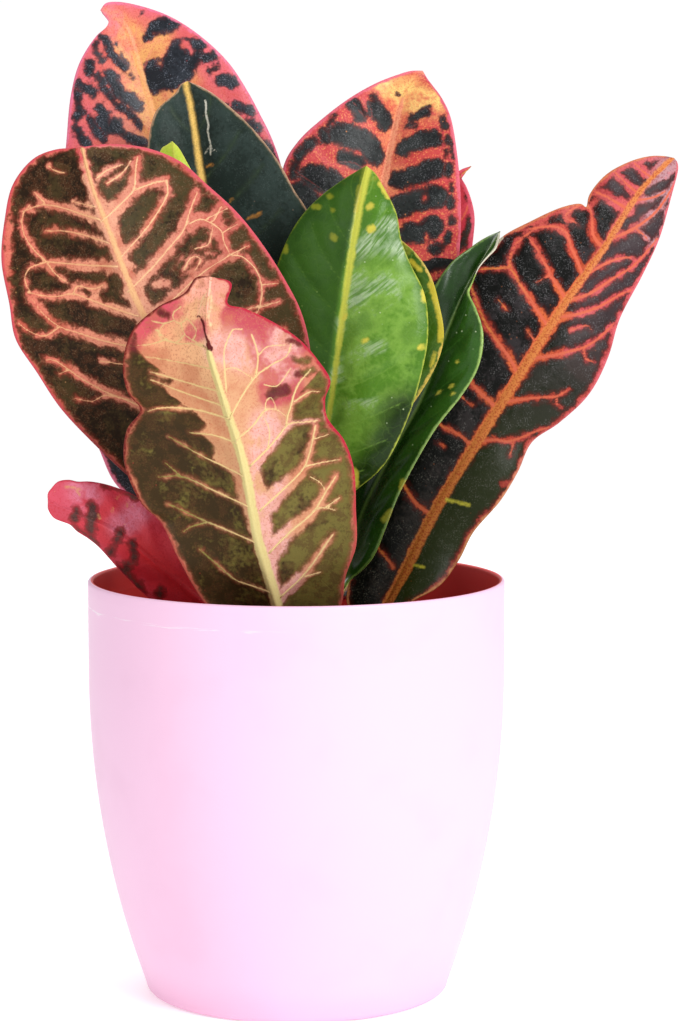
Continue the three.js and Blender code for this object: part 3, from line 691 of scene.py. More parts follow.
leafFront = {
    "name": "leaf_front", "slot": "leaf_salmon", "underFront": True, "stalk": 0.09, "arch": -0.07,
    "ribEnd": 0.83, "grain": 0.62, "seed": 11, "specular": 0.08, "rim": 1.1, "ribHalf": 1.8,
    "ribThinning": 0.25, "bandTaper": 0.75,
    "ribShift": [(0.3, 0.9), (0.5, 1.2), (0.65, 0.2), (0.8, -0.8)],
    "rib": [
        [2, 1, 102], [1.5, -5, 103.5], [-1, -17, 106], [-5, -30, 112], [-6, -37, 118],
        [-11, -42, 136], [-14.5, -45, 158], [-19, -46, 175], [-23, -46, 191], [-22, -43, 208],
    ],
    "left": [
        [-15, -28, 107], [-25.5, -34, 118], [-32, -38, 130], [-37, -37, 140.5], [-42.5, -34, 145.5],
        [-47, -34, 156.5], [-46, -38, 166], [-42, -43, 172], [-45.5, -40, 176.5], [-47, -35, 184.5],
        [-44.5, -33, 193], [-37.5, -35, 199.5], [-30, -38, 203.5], [-26.5, -41, 208],
    ],
    "right": [
        [8, -27, 106], [13, -32, 117], [14, -35, 125.5], [17, -38, 134], [17, -37, 144],
        [16.5, -34, 154.5], [14, -36, 162.5], [9, -42, 170], [8.5, -41, 174.5], [10, -37, 179.5],
        [6.5, -35, 185], [1, -36, 191], [-6.5, -38, 196], [-13.5, -41, 199.5], [-18, -44, 201],
        [-17, -44, 206.5],
    ],
    # How far the light middle reaches to each side of the rib: up, left share, right share
    "core": [
        (0, 0.1, 0.1), (0.3, 0.02, 0.12), (0.4, 0.02, 0.16), (0.45, 0.02, 0.19), (0.5, 0.05, 0.24),
        (0.55, 0.09, 0.2), (0.585, 0.11, 0.2), (0.6, 0.28, 0.36), (0.63, 0.26, 0.56), (0.65, 0.4, 0.6),
        (0.675, 0.3, 0.64), (0.695, 0.36, 0.9), (0.715, 0.6, 1.2), (0.73, 0.62, 1.2), (0.75, 0.52, 1.2),
        (0.765, 0.75, 1.2), (0.785, 0.9, 1.2), (0.81, 0.96, 1.2), (0.83, 1.2, 1.2), (1, 1.2, 1.2),
    ],
    "veins": [
        (0.3, 0.25, [(0.325, 0), (0.32, -0.25), (0.322, -0.42), (0.345, -0.55), (0.37, -0.7)]),
        (0.3, 0.35, [(0.445, 0), (0.45, -0.4), (0.457, -0.55), (0.47, -0.75)]),
        (0.25, 0.15, [(0.45, -0.45), (0.43, -0.6), (0.4, -0.8)]),
        (0.33, 0.5, [(0.525, 0), (0.53, -0.3), (0.537, -0.55), (0.522, -0.75)]),
        (0.25, 0.15, [(0.535, -0.55), (0.555, -0.68)]),
        (0.33, 0.55, [(0.59, 0), (0.597, -0.4), (0.612, -0.67)]),
        (0.35, 0.7, [(0.66, 0), (0.655, -0.25), (0.64, -0.5)]),
        (0.35, 0.6, [(0.71, 0), (0.7, -0.4), (0.68, -0.7), (0.655, -0.92)]),
        (0.3, 0.9, [(0.735, 0), (0.73, -0.4), (0.735, -0.75)]),
        (0.35, 0.8, [(0.765, 0), (0.755, -0.3), (0.75, -0.75)]),
        (0.22, 0.7, [(0.81, 0), (0.79, -0.4), (0.775, -0.8)]),
        (0.18, 0.6, [(0.85, 0), (0.84, -0.3), (0.82, -0.55), (0.83, -0.8)]),
        (0.14, 0.6, [
            (0.9, -0.74), (0.882, -0.75), (0.866, -0.66), (0.868, -0.55), (0.884, -0.5), (0.9, -0.56),
        ]),
        (0.14, 0.6, [(0.866, -0.66), (0.85, -0.75), (0.843, -0.9)]),
        (0.14, 0.6, [(0.868, -0.55), (0.85, -0.44), (0.848, -0.25), (0.852, -0.1)]),
        (0.14, 0.6, [(0.884, -0.5), (0.88, -0.38), (0.868, -0.25), (0.85, -0.3)]),
        (0.14, 0.6, [(0.85, -0.44), (0.828, -0.5), (0.818, -0.65), (0.83, -0.76), (0.85, -0.75)]),
        (0.14, 0.6, [(0.818, -0.65), (0.8, -0.78), (0.79, -0.9)]),
        (0.45, 2.0, [(0.295, 0.1), (0.31, 0.35), (0.33, 0.5), (0.35, 0.62), (0.37, 0.75)]),
        (0.3, 0.4, [(0.31, 0.42), (0.3, 0.63)]),
        (0.45, 2.4, [(0.405, 0.1), (0.42, 0.35), (0.433, 0.6), (0.455, 0.72), (0.475, 0.84)]),
        (0.3, 0.5, [(0.435, 0.62), (0.428, 0.7), (0.412, 0.8)]),
        (0.3, 0.4, [(0.428, 0.7), (0.432, 0.85)]),
        (0.45, 2.7, [(0.5, 0.1), (0.508, 0.35), (0.525, 0.6), (0.55, 0.7), (0.575, 0.79), (0.595, 0.86)]),
        (0.3, 0.9, [(0.525, 0.6), (0.513, 0.75), (0.5, 0.9)]),
        (0.25, 0.5, [(0.57, 0.78), (0.56, 0.92)]),
        (0.45, 1.6, [(0.6, 0.08), (0.608, 0.3), (0.617, 0.45), (0.627, 0.58), (0.612, 0.75), (0.6, 0.9)]),
        (0.4, 1.3, [(0.627, 0.55), (0.65, 0.57), (0.675, 0.62), (0.695, 0.72), (0.71, 0.9)]),
        (0.3, 0.7, [(0.67, 0.63), (0.672, 0.8), (0.66, 0.9)]),
        (0.35, 0.8, [(0.665, 0), (0.672, 0.2), (0.685, 0.35), (0.676, 0.45), (0.65, 0.54)]),
        (0.4, 0.8, [(0.71, 0), (0.73, 0.15), (0.752, 0.4), (0.755, 0.6), (0.755, 0.8), (0.77, 0.9)]),
        (0.35, 0.8, [(0.755, 0.42), (0.785, 0.55), (0.81, 0.62), (0.83, 0.67)]),
        (0.3, 0.8, [(0.76, 0.05), (0.8, 0.12), (0.83, 0.2), (0.85, 0.35)]),
        (0.25, 0.8, [(0.85, 0.35), (0.86, 0.5), (0.85, 0.62)]),
        (0.25, 0.8, [(0.73, 0.45), (0.715, 0.55), (0.73, 0.75)]),
        (0.22, 0.6, [(0.685, 0.35), (0.7, 0.4), (0.698, 0.46), (0.68, 0.46)]),
        (0.22, 0.6, [(0.61, 0.32), (0.635, 0.36), (0.66, 0.34), (0.68, 0.3)]),
        (0.22, 0.6, [(0.785, 0.55), (0.79, 0.7), (0.775, 0.85)]),
        (0.22, 0.6, [(0.8, 0.12), (0.79, 0.25), (0.752, 0.38)]),
        (0.22, 0.3, [(0.5, 0.62), (0.475, 0.7), (0.46, 0.72)]), (0.22, 0.3, [(0.575, 0.79), (0.55, 0.7)]),
    ],
    "cells": [
        (1.5, [(0.707, 0.47), (0.7, 0.6)]), (0.8, [(0.712, 0.78), (0.708, 0.92)]),
        (0.9, [(0.775, 0.93), (0.765, 0.99)]), (1.0, [(0.865, -0.9), (0.868, -0.8)]),
        (0.8, [(0.74, 0.84), (0.725, 0.92)]),
    ],
    "wash": [
        (3, [(0.3, 0.18), (0.5, 0.22), (0.65, 0.34)]), (3, [(0.84, 0.25), (0.8, 0.45)]),
        (2.2, [(0.76, 0.6), (0.74, 0.72), (0.79, 0.9)]), (1.5, [(0.6, 0.6), (0.605, 0.9)]),
    ],
    "flecks": [
        (0.12, [(0.895, 0.08), (0.915, 0.0), (0.935, 0.08), (0.965, -0.05)]),
        (0.08, [(0.905, -0.3), (0.93, -0.35), (0.96, -0.2)]),
    ],
    "blush": [
        (4, [(0.82, 0.8), (0.77, 0.66), (0.72, 0.64)]), (3.2, [(0.71, 0.5), (0.705, 0.62)]),
        (4.0, [(0.88, 0.8), (0.84, 0.88), (0.78, 0.99)]),
        (2, [(0.89, -0.8), (0.85, -0.95), (0.8, -0.98)]), (1.6, [(0.88, -0.2), (0.86, -0.35)]),
    ],
    "scars": [
        (0.3, [(0.9, -0.2), (0.893, -0.12), (0.88, -0.08), (0.862, 0.0), (0.85, 0.02)]),
        (0.6, [(0.858, -0.03), (0.852, 0.02)]), (0.12, [(0.9, -0.2), (0.903, -0.28), (0.9, -0.33)]),
        (0.12, [(0.852, 0.0), (0.848, -0.06), (0.85, -0.12)]),
    ],
    "under": {
        "inner": (208, 156, 118), "middle": (204, 142, 108), "outer": (196, 108, 92),
        "tip": (228, 152, 136), "deep": (188, 112, 84), "washTone": (226, 170, 162),
        "blushTone": (178, 56, 80), "blushing": 0.9, "blushDark": (104, 38, 46), "dark": (60, 46, 27),
        "darkToo": (112, 102, 52), "darkSlope": 0.24, "darkWarm": (82, 56, 36), "warmShare": 0.55,
        "dotTone": (150, 62, 48), "dotting": 0.55, "shore": (126, 62, 44), "shoreShare": 0.5,
        "spark": (140, 124, 60), "vein": (226, 198, 142), "veinFar": (142, 140, 74),
        "fleckTone": (232, 204, 156), "rib": (216, 200, 138), "ribSpeck": (202, 182, 112),
        "margin": (178, 40, 60), "marginLeft": (112, 38, 34), "marginLow": (190, 90, 80), "rimEnd": 0.75,
        "rimRagged": 0.8, "innerEnd": 0.6, "netting": 0.06, "netReach": 1.0, "sparkle": 0.12,
        "rough": 0.5, "mottling": 0.55, "ragged": 1.25, "speckle": 0.25, "grain": 0.5, "soft": 0.6,
        # Painted shade on the lower blade and the left half; painted light brightens the left half's top
        "lowTint": (0.82, 0.8, 0.8), "lowEnd": 0.5, "leftTint": (0.98, 0.96, 0.9),
        "leftTop": (1.42, 1.6, 1.62),
    },
    "upper": {"rough": 0.35},
}

leafLeft = {
    "name": "leaf_left", "slot": "leaf_olive_red", "underFront": True, "stalk": 0.12, "arch": -0.07,
    "grain": 0.66, "seed": 12, "specular": 0.08, "rim": 1.3, "ribShift": [(0, 1.4)], "ribHalf": 1.6,
    "veinScale": (0.32, 1.55),
    "rib": [
        [-0.5, 3, 126], [-3.5, -1, 129], [-13, -12, 143], [-28, -22, 168], [-43.5, -26, 197],
        [-52, -25, 218.5], [-57, -23, 231.5], [-60.5, -18, 243],
    ],
    "left": [
        [-22, -12, 142], [-37, -16, 143], [-48, -17, 152], [-57.5, -17, 161], [-66, -14, 170],
        [-73, -12, 180], [-78.5, -14, 189.5], [-80, -17, 199.5], [-82.5, -14, 211.5],
        [-81.5, -12, 223], [-79, -13, 233], [-73, -15, 240], [-66.5, -16, 242.5],
    ],
    "right": [
        [-8, -14, 147], [0, -16, 161], [4.5, -18, 177], [4, -18, 188], [1.5, -16, 197.5],
        [-2.5, -14, 205.5], [-9, -15, 216], [-16, -17, 225], [-24.5, -18, 233], [-32, -17, 239.5],
        [-41, -16, 243], [-51.5, -16, 244],
    ],
    "core": [
        (0, 0.1, 0.1), (0.4, 0.05, 0.1), (0.58, 0.04, 0.14), (0.7, 0.03, 0.13), (0.85, 0.04, 0.16),
        (0.9, 0.04, 0.16), (0.96, 0.08, 0.3), (0.985, 0.3, 0.5), (1, 1, 1),
    ],
    "veins": [
        (0.5, 1.1, [(0.835, 0), (0.835, -0.15), (0.838, -0.4), (0.835, -0.65), (0.815, -0.85)]),
        (0.35, 0.8, [(0.84, -0.63), (0.855, -0.75)]),
        (0.35, 0.8, [(0.785, 0), (0.79, -0.2), (0.793, -0.4), (0.786, -0.64)]),
        (0.55, 1.4, [(0.735, 0), (0.73, -0.25), (0.728, -0.5), (0.728, -0.66)]),
        (0.4, 0.9, [(0.728, -0.64), (0.752, -0.75), (0.78, -0.83), (0.803, -0.85), (0.83, -0.78)]),
        (0.4, 0.8, [(0.728, -0.64), (0.71, -0.8), (0.69, -0.84), (0.667, -0.82)]),
        (0.35, 0.7, [(0.728, -0.64), (0.705, -0.58), (0.69, -0.5)]),
        (0.5, 1.1, [
            (0.625, 0), (0.64, -0.18), (0.657, -0.36), (0.667, -0.48), (0.66, -0.65), (0.667, -0.84),
        ]),
        (0.4, 1.0, [(0.667, -0.48), (0.682, -0.44), (0.68, -0.3), (0.69, -0.2)]),
        (0.5, 1.4, [
            (0.545, -0.05), (0.565, -0.36), (0.587, -0.55), (0.6, -0.66), (0.627, -0.76), (0.655, -0.82),
        ]),
        (0.35, 0.8, [(0.6, -0.66), (0.584, -0.8), (0.598, -0.9), (0.612, -0.95)]),
        (0.5, 1.1, [
            (0.4, -0.35), (0.425, -0.45), (0.455, -0.6), (0.495, -0.73), (0.533, -0.82), (0.535, -0.88),
        ]),
        (0.3, 0.4, [(0.51, -0.76), (0.505, -0.85)]),
        (0.35, 0.5, [(0.43, -0.45), (0.447, -0.62), (0.44, -0.75), (0.452, -0.85)]),
        (0.3, 0.3, [(0.522, -0.5), (0.512, -0.34), (0.5, -0.1)]),
        (0.3, 0.6, [(0.862, 0), (0.858, -0.3)]),
        (0.25, 0.25, [(0.915, -0.42), (0.912, -0.6), (0.917, -0.72)]),
        (0.5, 1.3, [(0.335, 0), (0.345, -0.2), (0.36, -0.4)]),
        (0.5, 1.3, [(0.24, 0), (0.25, -0.2), (0.265, -0.45)]),
        (0.5, 1.3, [(0.15, 0), (0.16, -0.2), (0.175, -0.45)]),
        (0.5, 1.7, [(0.83, 0), (0.828, 0.25), (0.83, 0.5), (0.848, 0.62), (0.863, 0.74), (0.872, 0.83)]),
        (0.45, 1.0, [
            (0.828, 0.5), (0.81, 0.68), (0.797, 0.78), (0.782, 0.74), (0.762, 0.52), (0.752, 0.3),
            (0.745, 0),
        ]),
        (0.5, 1.5, [(0.68, 0), (0.685, 0.25), (0.695, 0.47), (0.702, 0.62), (0.722, 0.75), (0.74, 0.9)]),
        (0.4, 1.8, [(0.705, 0.68), (0.695, 0.78), (0.68, 0.81), (0.69, 0.95)]),
        (0.4, 1.9, [(0.68, 0.81), (0.655, 0.83), (0.635, 0.8), (0.607, 0.78)]),
        (0.3, 1.2, [(0.65, 0.83), (0.645, 0.95)]), (0.3, 0.8, [(0.69, 0.8), (0.68, 0.97)]),
        (0.5, 1.6, [(0.6, 0), (0.607, 0.3), (0.612, 0.55), (0.607, 0.78)]),
        (0.4, 0.8, [
            (0.607, 0.78), (0.585, 0.85), (0.55, 0.87), (0.52, 0.84), (0.49, 0.76), (0.48, 0.68),
        ]),
        (0.3, 0.7, [(0.525, 0.85), (0.51, 0.95)]), (0.3, 0.7, [(0.49, 0.77), (0.48, 0.9)]),
        (0.35, 0.7, [(0.607, 0.78), (0.6, 0.92)]),
        (0.35, 0.6, [(0.64, 0.45), (0.65, 0.55), (0.637, 0.6), (0.625, 0.52)]),
        (0.3, 0.5, [(0.66, 0.6), (0.65, 0.7), (0.67, 0.8)]),
        (0.35, 0.7, [(0.5, 0.1), (0.51, 0.4), (0.5, 0.7), (0.485, 0.85)]),
        (0.35, 0.6, [(0.905, 0.2), (0.9, 0.45), (0.885, 0.65)]),
        (0.3, 0.5, [(0.88, 0.3), (0.872, 0.55), (0.877, 0.75)]),
        (0.5, 1.3, [(0.4, 0), (0.41, 0.4), (0.43, 0.85)]),
        (0.5, 1.3, [(0.3, 0), (0.32, 0.4), (0.35, 0.85)]),
        (0.5, 1.3, [(0.2, 0), (0.22, 0.4), (0.26, 0.85)]),
    ],
    "clear": [
        (1.3, [(0.655, 0.22), (0.64, 0.3)]), (1.2, [(0.8, -0.97), (0.75, -0.95), (0.7, -0.98)]),
        (0.5, [(0.655, 0.4), (0.662, 0.5)]), (0.4, [(0.635, 0.42), (0.625, 0.5)]),
        (0.4, [(0.64, 0.65), (0.625, 0.7)]),
    ],
    "cells": [
        (1.0, [(0.662, 0.89), (0.655, 0.94)]), (1.2, [(0.627, 0.88), (0.615, 0.9)]),
        (1.0, [(0.715, 0.92), (0.73, 0.94)]), (0.7, [(0.703, 0.86), (0.697, 0.89)]),
        (0.7, [(0.677, 0.74), (0.668, 0.76)]),
    ],
    "wash": [(2.5, [(0.925, 0.82), (0.95, 0.9)])],
    "under": {
        "inner": (218, 156, 128), "middle": (210, 136, 114), "outer": (198, 104, 92),
        # Painted light: a multiply over 1 brightens the left half above the middle
        "leftTop": (1.2, 1.3, 1.3), "topFrom": 0.4, "tip": (198, 80, 84), "deep": (172, 74, 54),
        "dark": (40, 29, 18), "darkToo": (68, 58, 34), "darkSlope": 0.1, "shore": (112, 50, 36),
        "shoreShare": 0.65, "spark": (156, 138, 110), "vein": (240, 194, 148), "rib": (228, 178, 128),
        "ribSpeck": (206, 136, 98), "margin": (206, 86, 98), "rimEnd": 0.75, "innerEnd": 0.4,
        "netting": 0.1, "netReach": 1.2, "sparkle": 0.22, "rough": 0.5, "speckle": 0.3,
        "washTone": (222, 140, 130), "grain": 0.4, "mottling": 0.55, "soft": 0.5,
        # Painted shade on the left half, by the multiply on the next line
        "marginLow": (120, 52, 50), "leftTint": (0.92, 0.8, 0.74), "darkWarm": (96, 60, 38),
        "warmShare": 0.35, "dotTone": (196, 150, 104), "dotting": 0.45,
    },
    "upper": {"rough": 0.35},
}

leafRight = {
    "name": "leaf_right", "slot": "leaf_black_orange", "stalk": 0.1, "arch": 0.07, "grain": 0.66,
    "seed": 13, "coat": 0.04, "rim": 0.9, "ribHalf": 1.9,
    "ribShift": [(0.2, 0.9), (0.4, 1.2), (0.8, 1.0), (0.93, -0.4)], "puff": 0.25, "specular": 0.08,
    "ribThinning": 0.6, "veinScale": (0.6, 1.55),
    "rib": [
        [7.5, 7, 103.5], [14, 8.5, 103], [21, 9, 104.5], [26.5, 10, 112.5], [39, 14, 137.5],
        [52, 17, 159], [63.5, 20, 177], [77, 25, 197.5], [90.5, 31, 216], [101, 36, 230],
        [111.5, 40, 240.5],
    ],
    "left": [
        [15, 10, 110], [17, 13, 124], [24, 17, 147], [33, 20, 170], [42, 22, 190], [50, 23, 206],
        [59.5, 25, 217], [68.5, 26, 222], [77.5, 28, 226], [83, 30, 227], [85, 32, 226],
        [86, 33, 229.5], [91, 34, 235.5], [98.5, 36, 239.5], [104.5, 38, 241], [108.5, 39, 241],
    ],
    "right": [
        [26, 8, 105.5], [33.5, 6, 112], [41.5, 8, 116.5], [47.5, 12, 124], [51.5, 14, 131.5],
        [59.5, 14, 141], [64.5, 16, 149], [69, 20, 157.5], [77, 22, 163], [85.5, 24, 171],
        [91.5, 27, 182], [95.5, 30, 193.5], [102, 33, 206], [107.5, 36, 217.5], [111, 39, 229],
        [113, 41, 237.5], [112.5, 41, 239.5],
    ],
    "core": [
        (0, 0.08, 0.12), (0.2, 0.03, 0.15), (0.75, 0.03, 0.14), (0.85, 0.1, 0.1), (0.93, 0.15, 0.12),
        (0.96, 0.5, 0.7), (0.98, 1, 1),
    ],
    "veins": [
        (0.5, 0.5, [(0.125, -0.2), (0.13, -0.25), (0.155, -0.65)]),
        (0.7, 0.7, [(0.25, 0), (0.25, -0.2), (0.265, -0.55), (0.29, -0.85)]),
        (0.3, 0.3, [(0.36, -0.38), (0.36, -0.3)]),
        (0.5, 0.6, [(0.395, 0), (0.395, -0.2), (0.385, -0.5), (0.4, -0.9)]),
        (0.3, 0.3, [(0.445, -0.4), (0.447, -0.25)]),
        (0.7, 0.85, [(0.475, 0), (0.475, -0.4), (0.49, -0.7), (0.505, -0.9)]),
        (0.7, 0.9, [(0.545, 0), (0.55, -0.1), (0.56, -0.6), (0.585, -0.95)]),
        (0.3, 0.4, [(0.605, -0.02), (0.606, -0.15)]),
        (0.3, 0.35, [(0.6, -0.45), (0.6, -0.6)]),
        (0.7, 1.0, [
            (0.64, 0), (0.642, -0.3), (0.647, -0.6), (0.655, -0.75), (0.68, -0.85), (0.72, -0.9),
        ]),
        (0.5, 0.6, [(0.65, -0.7), (0.63, -0.82), (0.61, -0.95)]),
        (0.7, 0.9, [(0.695, 0), (0.695, -0.3), (0.7, -0.6), (0.703, -0.85)]),
        (0.35, 0.4, [(0.69, -0.33), (0.668, -0.38)]),
        (0.75, 1.1, [(0.745, 0), (0.75, -0.4), (0.755, -0.65), (0.74, -0.82), (0.71, -0.92)]),
        (0.4, 0.7, [(0.8, -0.95), (0.77, -0.85), (0.78, -0.65)]),
        (0.8, 1.3, [(0.8, 0), (0.795, -0.3), (0.81, -0.6), (0.82, -0.8), (0.825, -0.97)]),
        (0.7, 1.6, [(0.875, 0), (0.87, -0.2), (0.86, -0.6), (0.85, -0.95)]),
        (0.5, 1.3, [(0.905, -0.1), (0.9, -0.4), (0.895, -0.9)]),
        (0.5, 1.3, [(0.94, -0.1), (0.935, -0.4), (0.93, -0.9)]),
        (0.65, 0.9, [
            (0.405, 0.1), (0.415, 0.3), (0.42, 0.6), (0.435, 0.77), (0.455, 0.87), (0.47, 0.95),
        ]),
        (0.4, 0.5, [(0.42, 0.65), (0.413, 0.7), (0.395, 0.73)]),
        (0.65, 0.8, [(0.49, 0.1), (0.505, 0.3), (0.52, 0.5), (0.53, 0.64), (0.547, 0.71)]),
        (0.4, 0.5, [(0.53, 0.64), (0.516, 0.74), (0.515, 0.82)]),
        (0.65, 0.9, [
            (0.578, 0.1), (0.595, 0.3), (0.615, 0.5), (0.625, 0.6), (0.65, 0.75), (0.685, 0.92),
        ]),
        (0.5, 0.6, [(0.625, 0.6), (0.61, 0.7), (0.61, 0.82)]),
        (0.35, 0.4, [(0.645, 0.32), (0.662, 0.5), (0.66, 0.6)]),
        (0.65, 0.9, [(0.66, 0.1), (0.675, 0.3), (0.7, 0.55), (0.733, 0.78), (0.75, 0.95)]),
        (0.65, 0.9, [(0.695, 0.1), (0.715, 0.3), (0.76, 0.55), (0.79, 0.75), (0.85, 0.95)]),
        (0.6, 0.8, [(0.75, 0.1), (0.78, 0.3), (0.795, 0.5), (0.8, 0.62)]),
        (0.7, 1.0, [(0.82, 0.1), (0.84, 0.3), (0.865, 0.5), (0.895, 0.7), (0.95, 0.95)]),
        (0.45, 0.6, [(0.848, 0.45), (0.845, 0.6), (0.84, 0.76)]),
        (0.55, 0.9, [(0.895, 0.05), (0.91, 0.4), (0.93, 0.7)]),
    ],
    "clear": [
        (1.0, [(0.12, 0.98), (0.2, 0.96), (0.3, 0.98)]), (1.1, [(0.34, 0.9), (0.35, 0.98)]),
        (1.2, [(0.42, 0.98), (0.55, 0.98), (0.7, 0.98), (0.8, 0.99)]),
        (1.4, [(0.72, -0.97), (0.8, -0.95), (0.84, -0.8)]),
        (1.7, [(0.86, -0.98), (0.93, -0.97), (0.98, -0.9)]),
    ],
    "flecks": [(0.4, [(0.285, 0.15), (0.287, 0.58)]), (0.3, [(0.145, 0.22), (0.15, 0.44)])],
    "blush": [(7, [(0.62, 0.75), (0.8, 0.55), (0.95, 0.5)]), (4, [(0.88, -0.4), (0.96, -0.4)])],
    "scars": [(0.5, [(0.6, -0.99), (0.64, -0.97), (0.67, -1)])],
    "wash": [(3, [(0.97, 0.5), (0.93, 0.6), (0.86, 0.8)])],
    # Painted shade darkens the lower blade. The greyer dark tones, more on the right half and in the blush,
    # are partly the cells' own mottling and partly a painted sheen.
    "upper": {
        "inner": (198, 94, 54), "middle": (184, 70, 54), "outer": (186, 76, 74), "tip": (178, 112, 122),
        "tipFrom": 0.92, "deep": (140, 42, 34), "dark": (8, 9, 7), "darkToo": (44, 39, 41),
        "darkSlope": 0.24, "shore": (84, 24, 20), "shoreShare": 0.65, "spark": (132, 130, 132),
        "vein": (202, 96, 70), "rib": (204, 122, 64), "ribSpeck": (164, 68, 38), "margin": (206, 96, 106),
        "marginLeft": (196, 112, 78), "marginLow": (232, 156, 118), "blushTone": (196, 84, 94),
        "rimEnd": 0.55, "rimRagged": 1.1, "ragged": 1.3, "sparkle": 0.28, "speckle": 0.7, "innerEnd": 0.4,
        "scarTone": (190, 180, 160), "lowTint": (0.5, 0.5, 0.34), "lowEnd": 0.76, "grain": 0.5,
        "washTone": (178, 138, 146), "lowDark": (46, 56, 26), "blushDark": (58, 46, 49),
        "veinFar": (208, 122, 62), "granules": 0.12, "dotting": 0.15, "dotTone": (222, 128, 74),
        "netting": 0.0, "soft": 0.35, "lowShare": 1.0,
    },
}

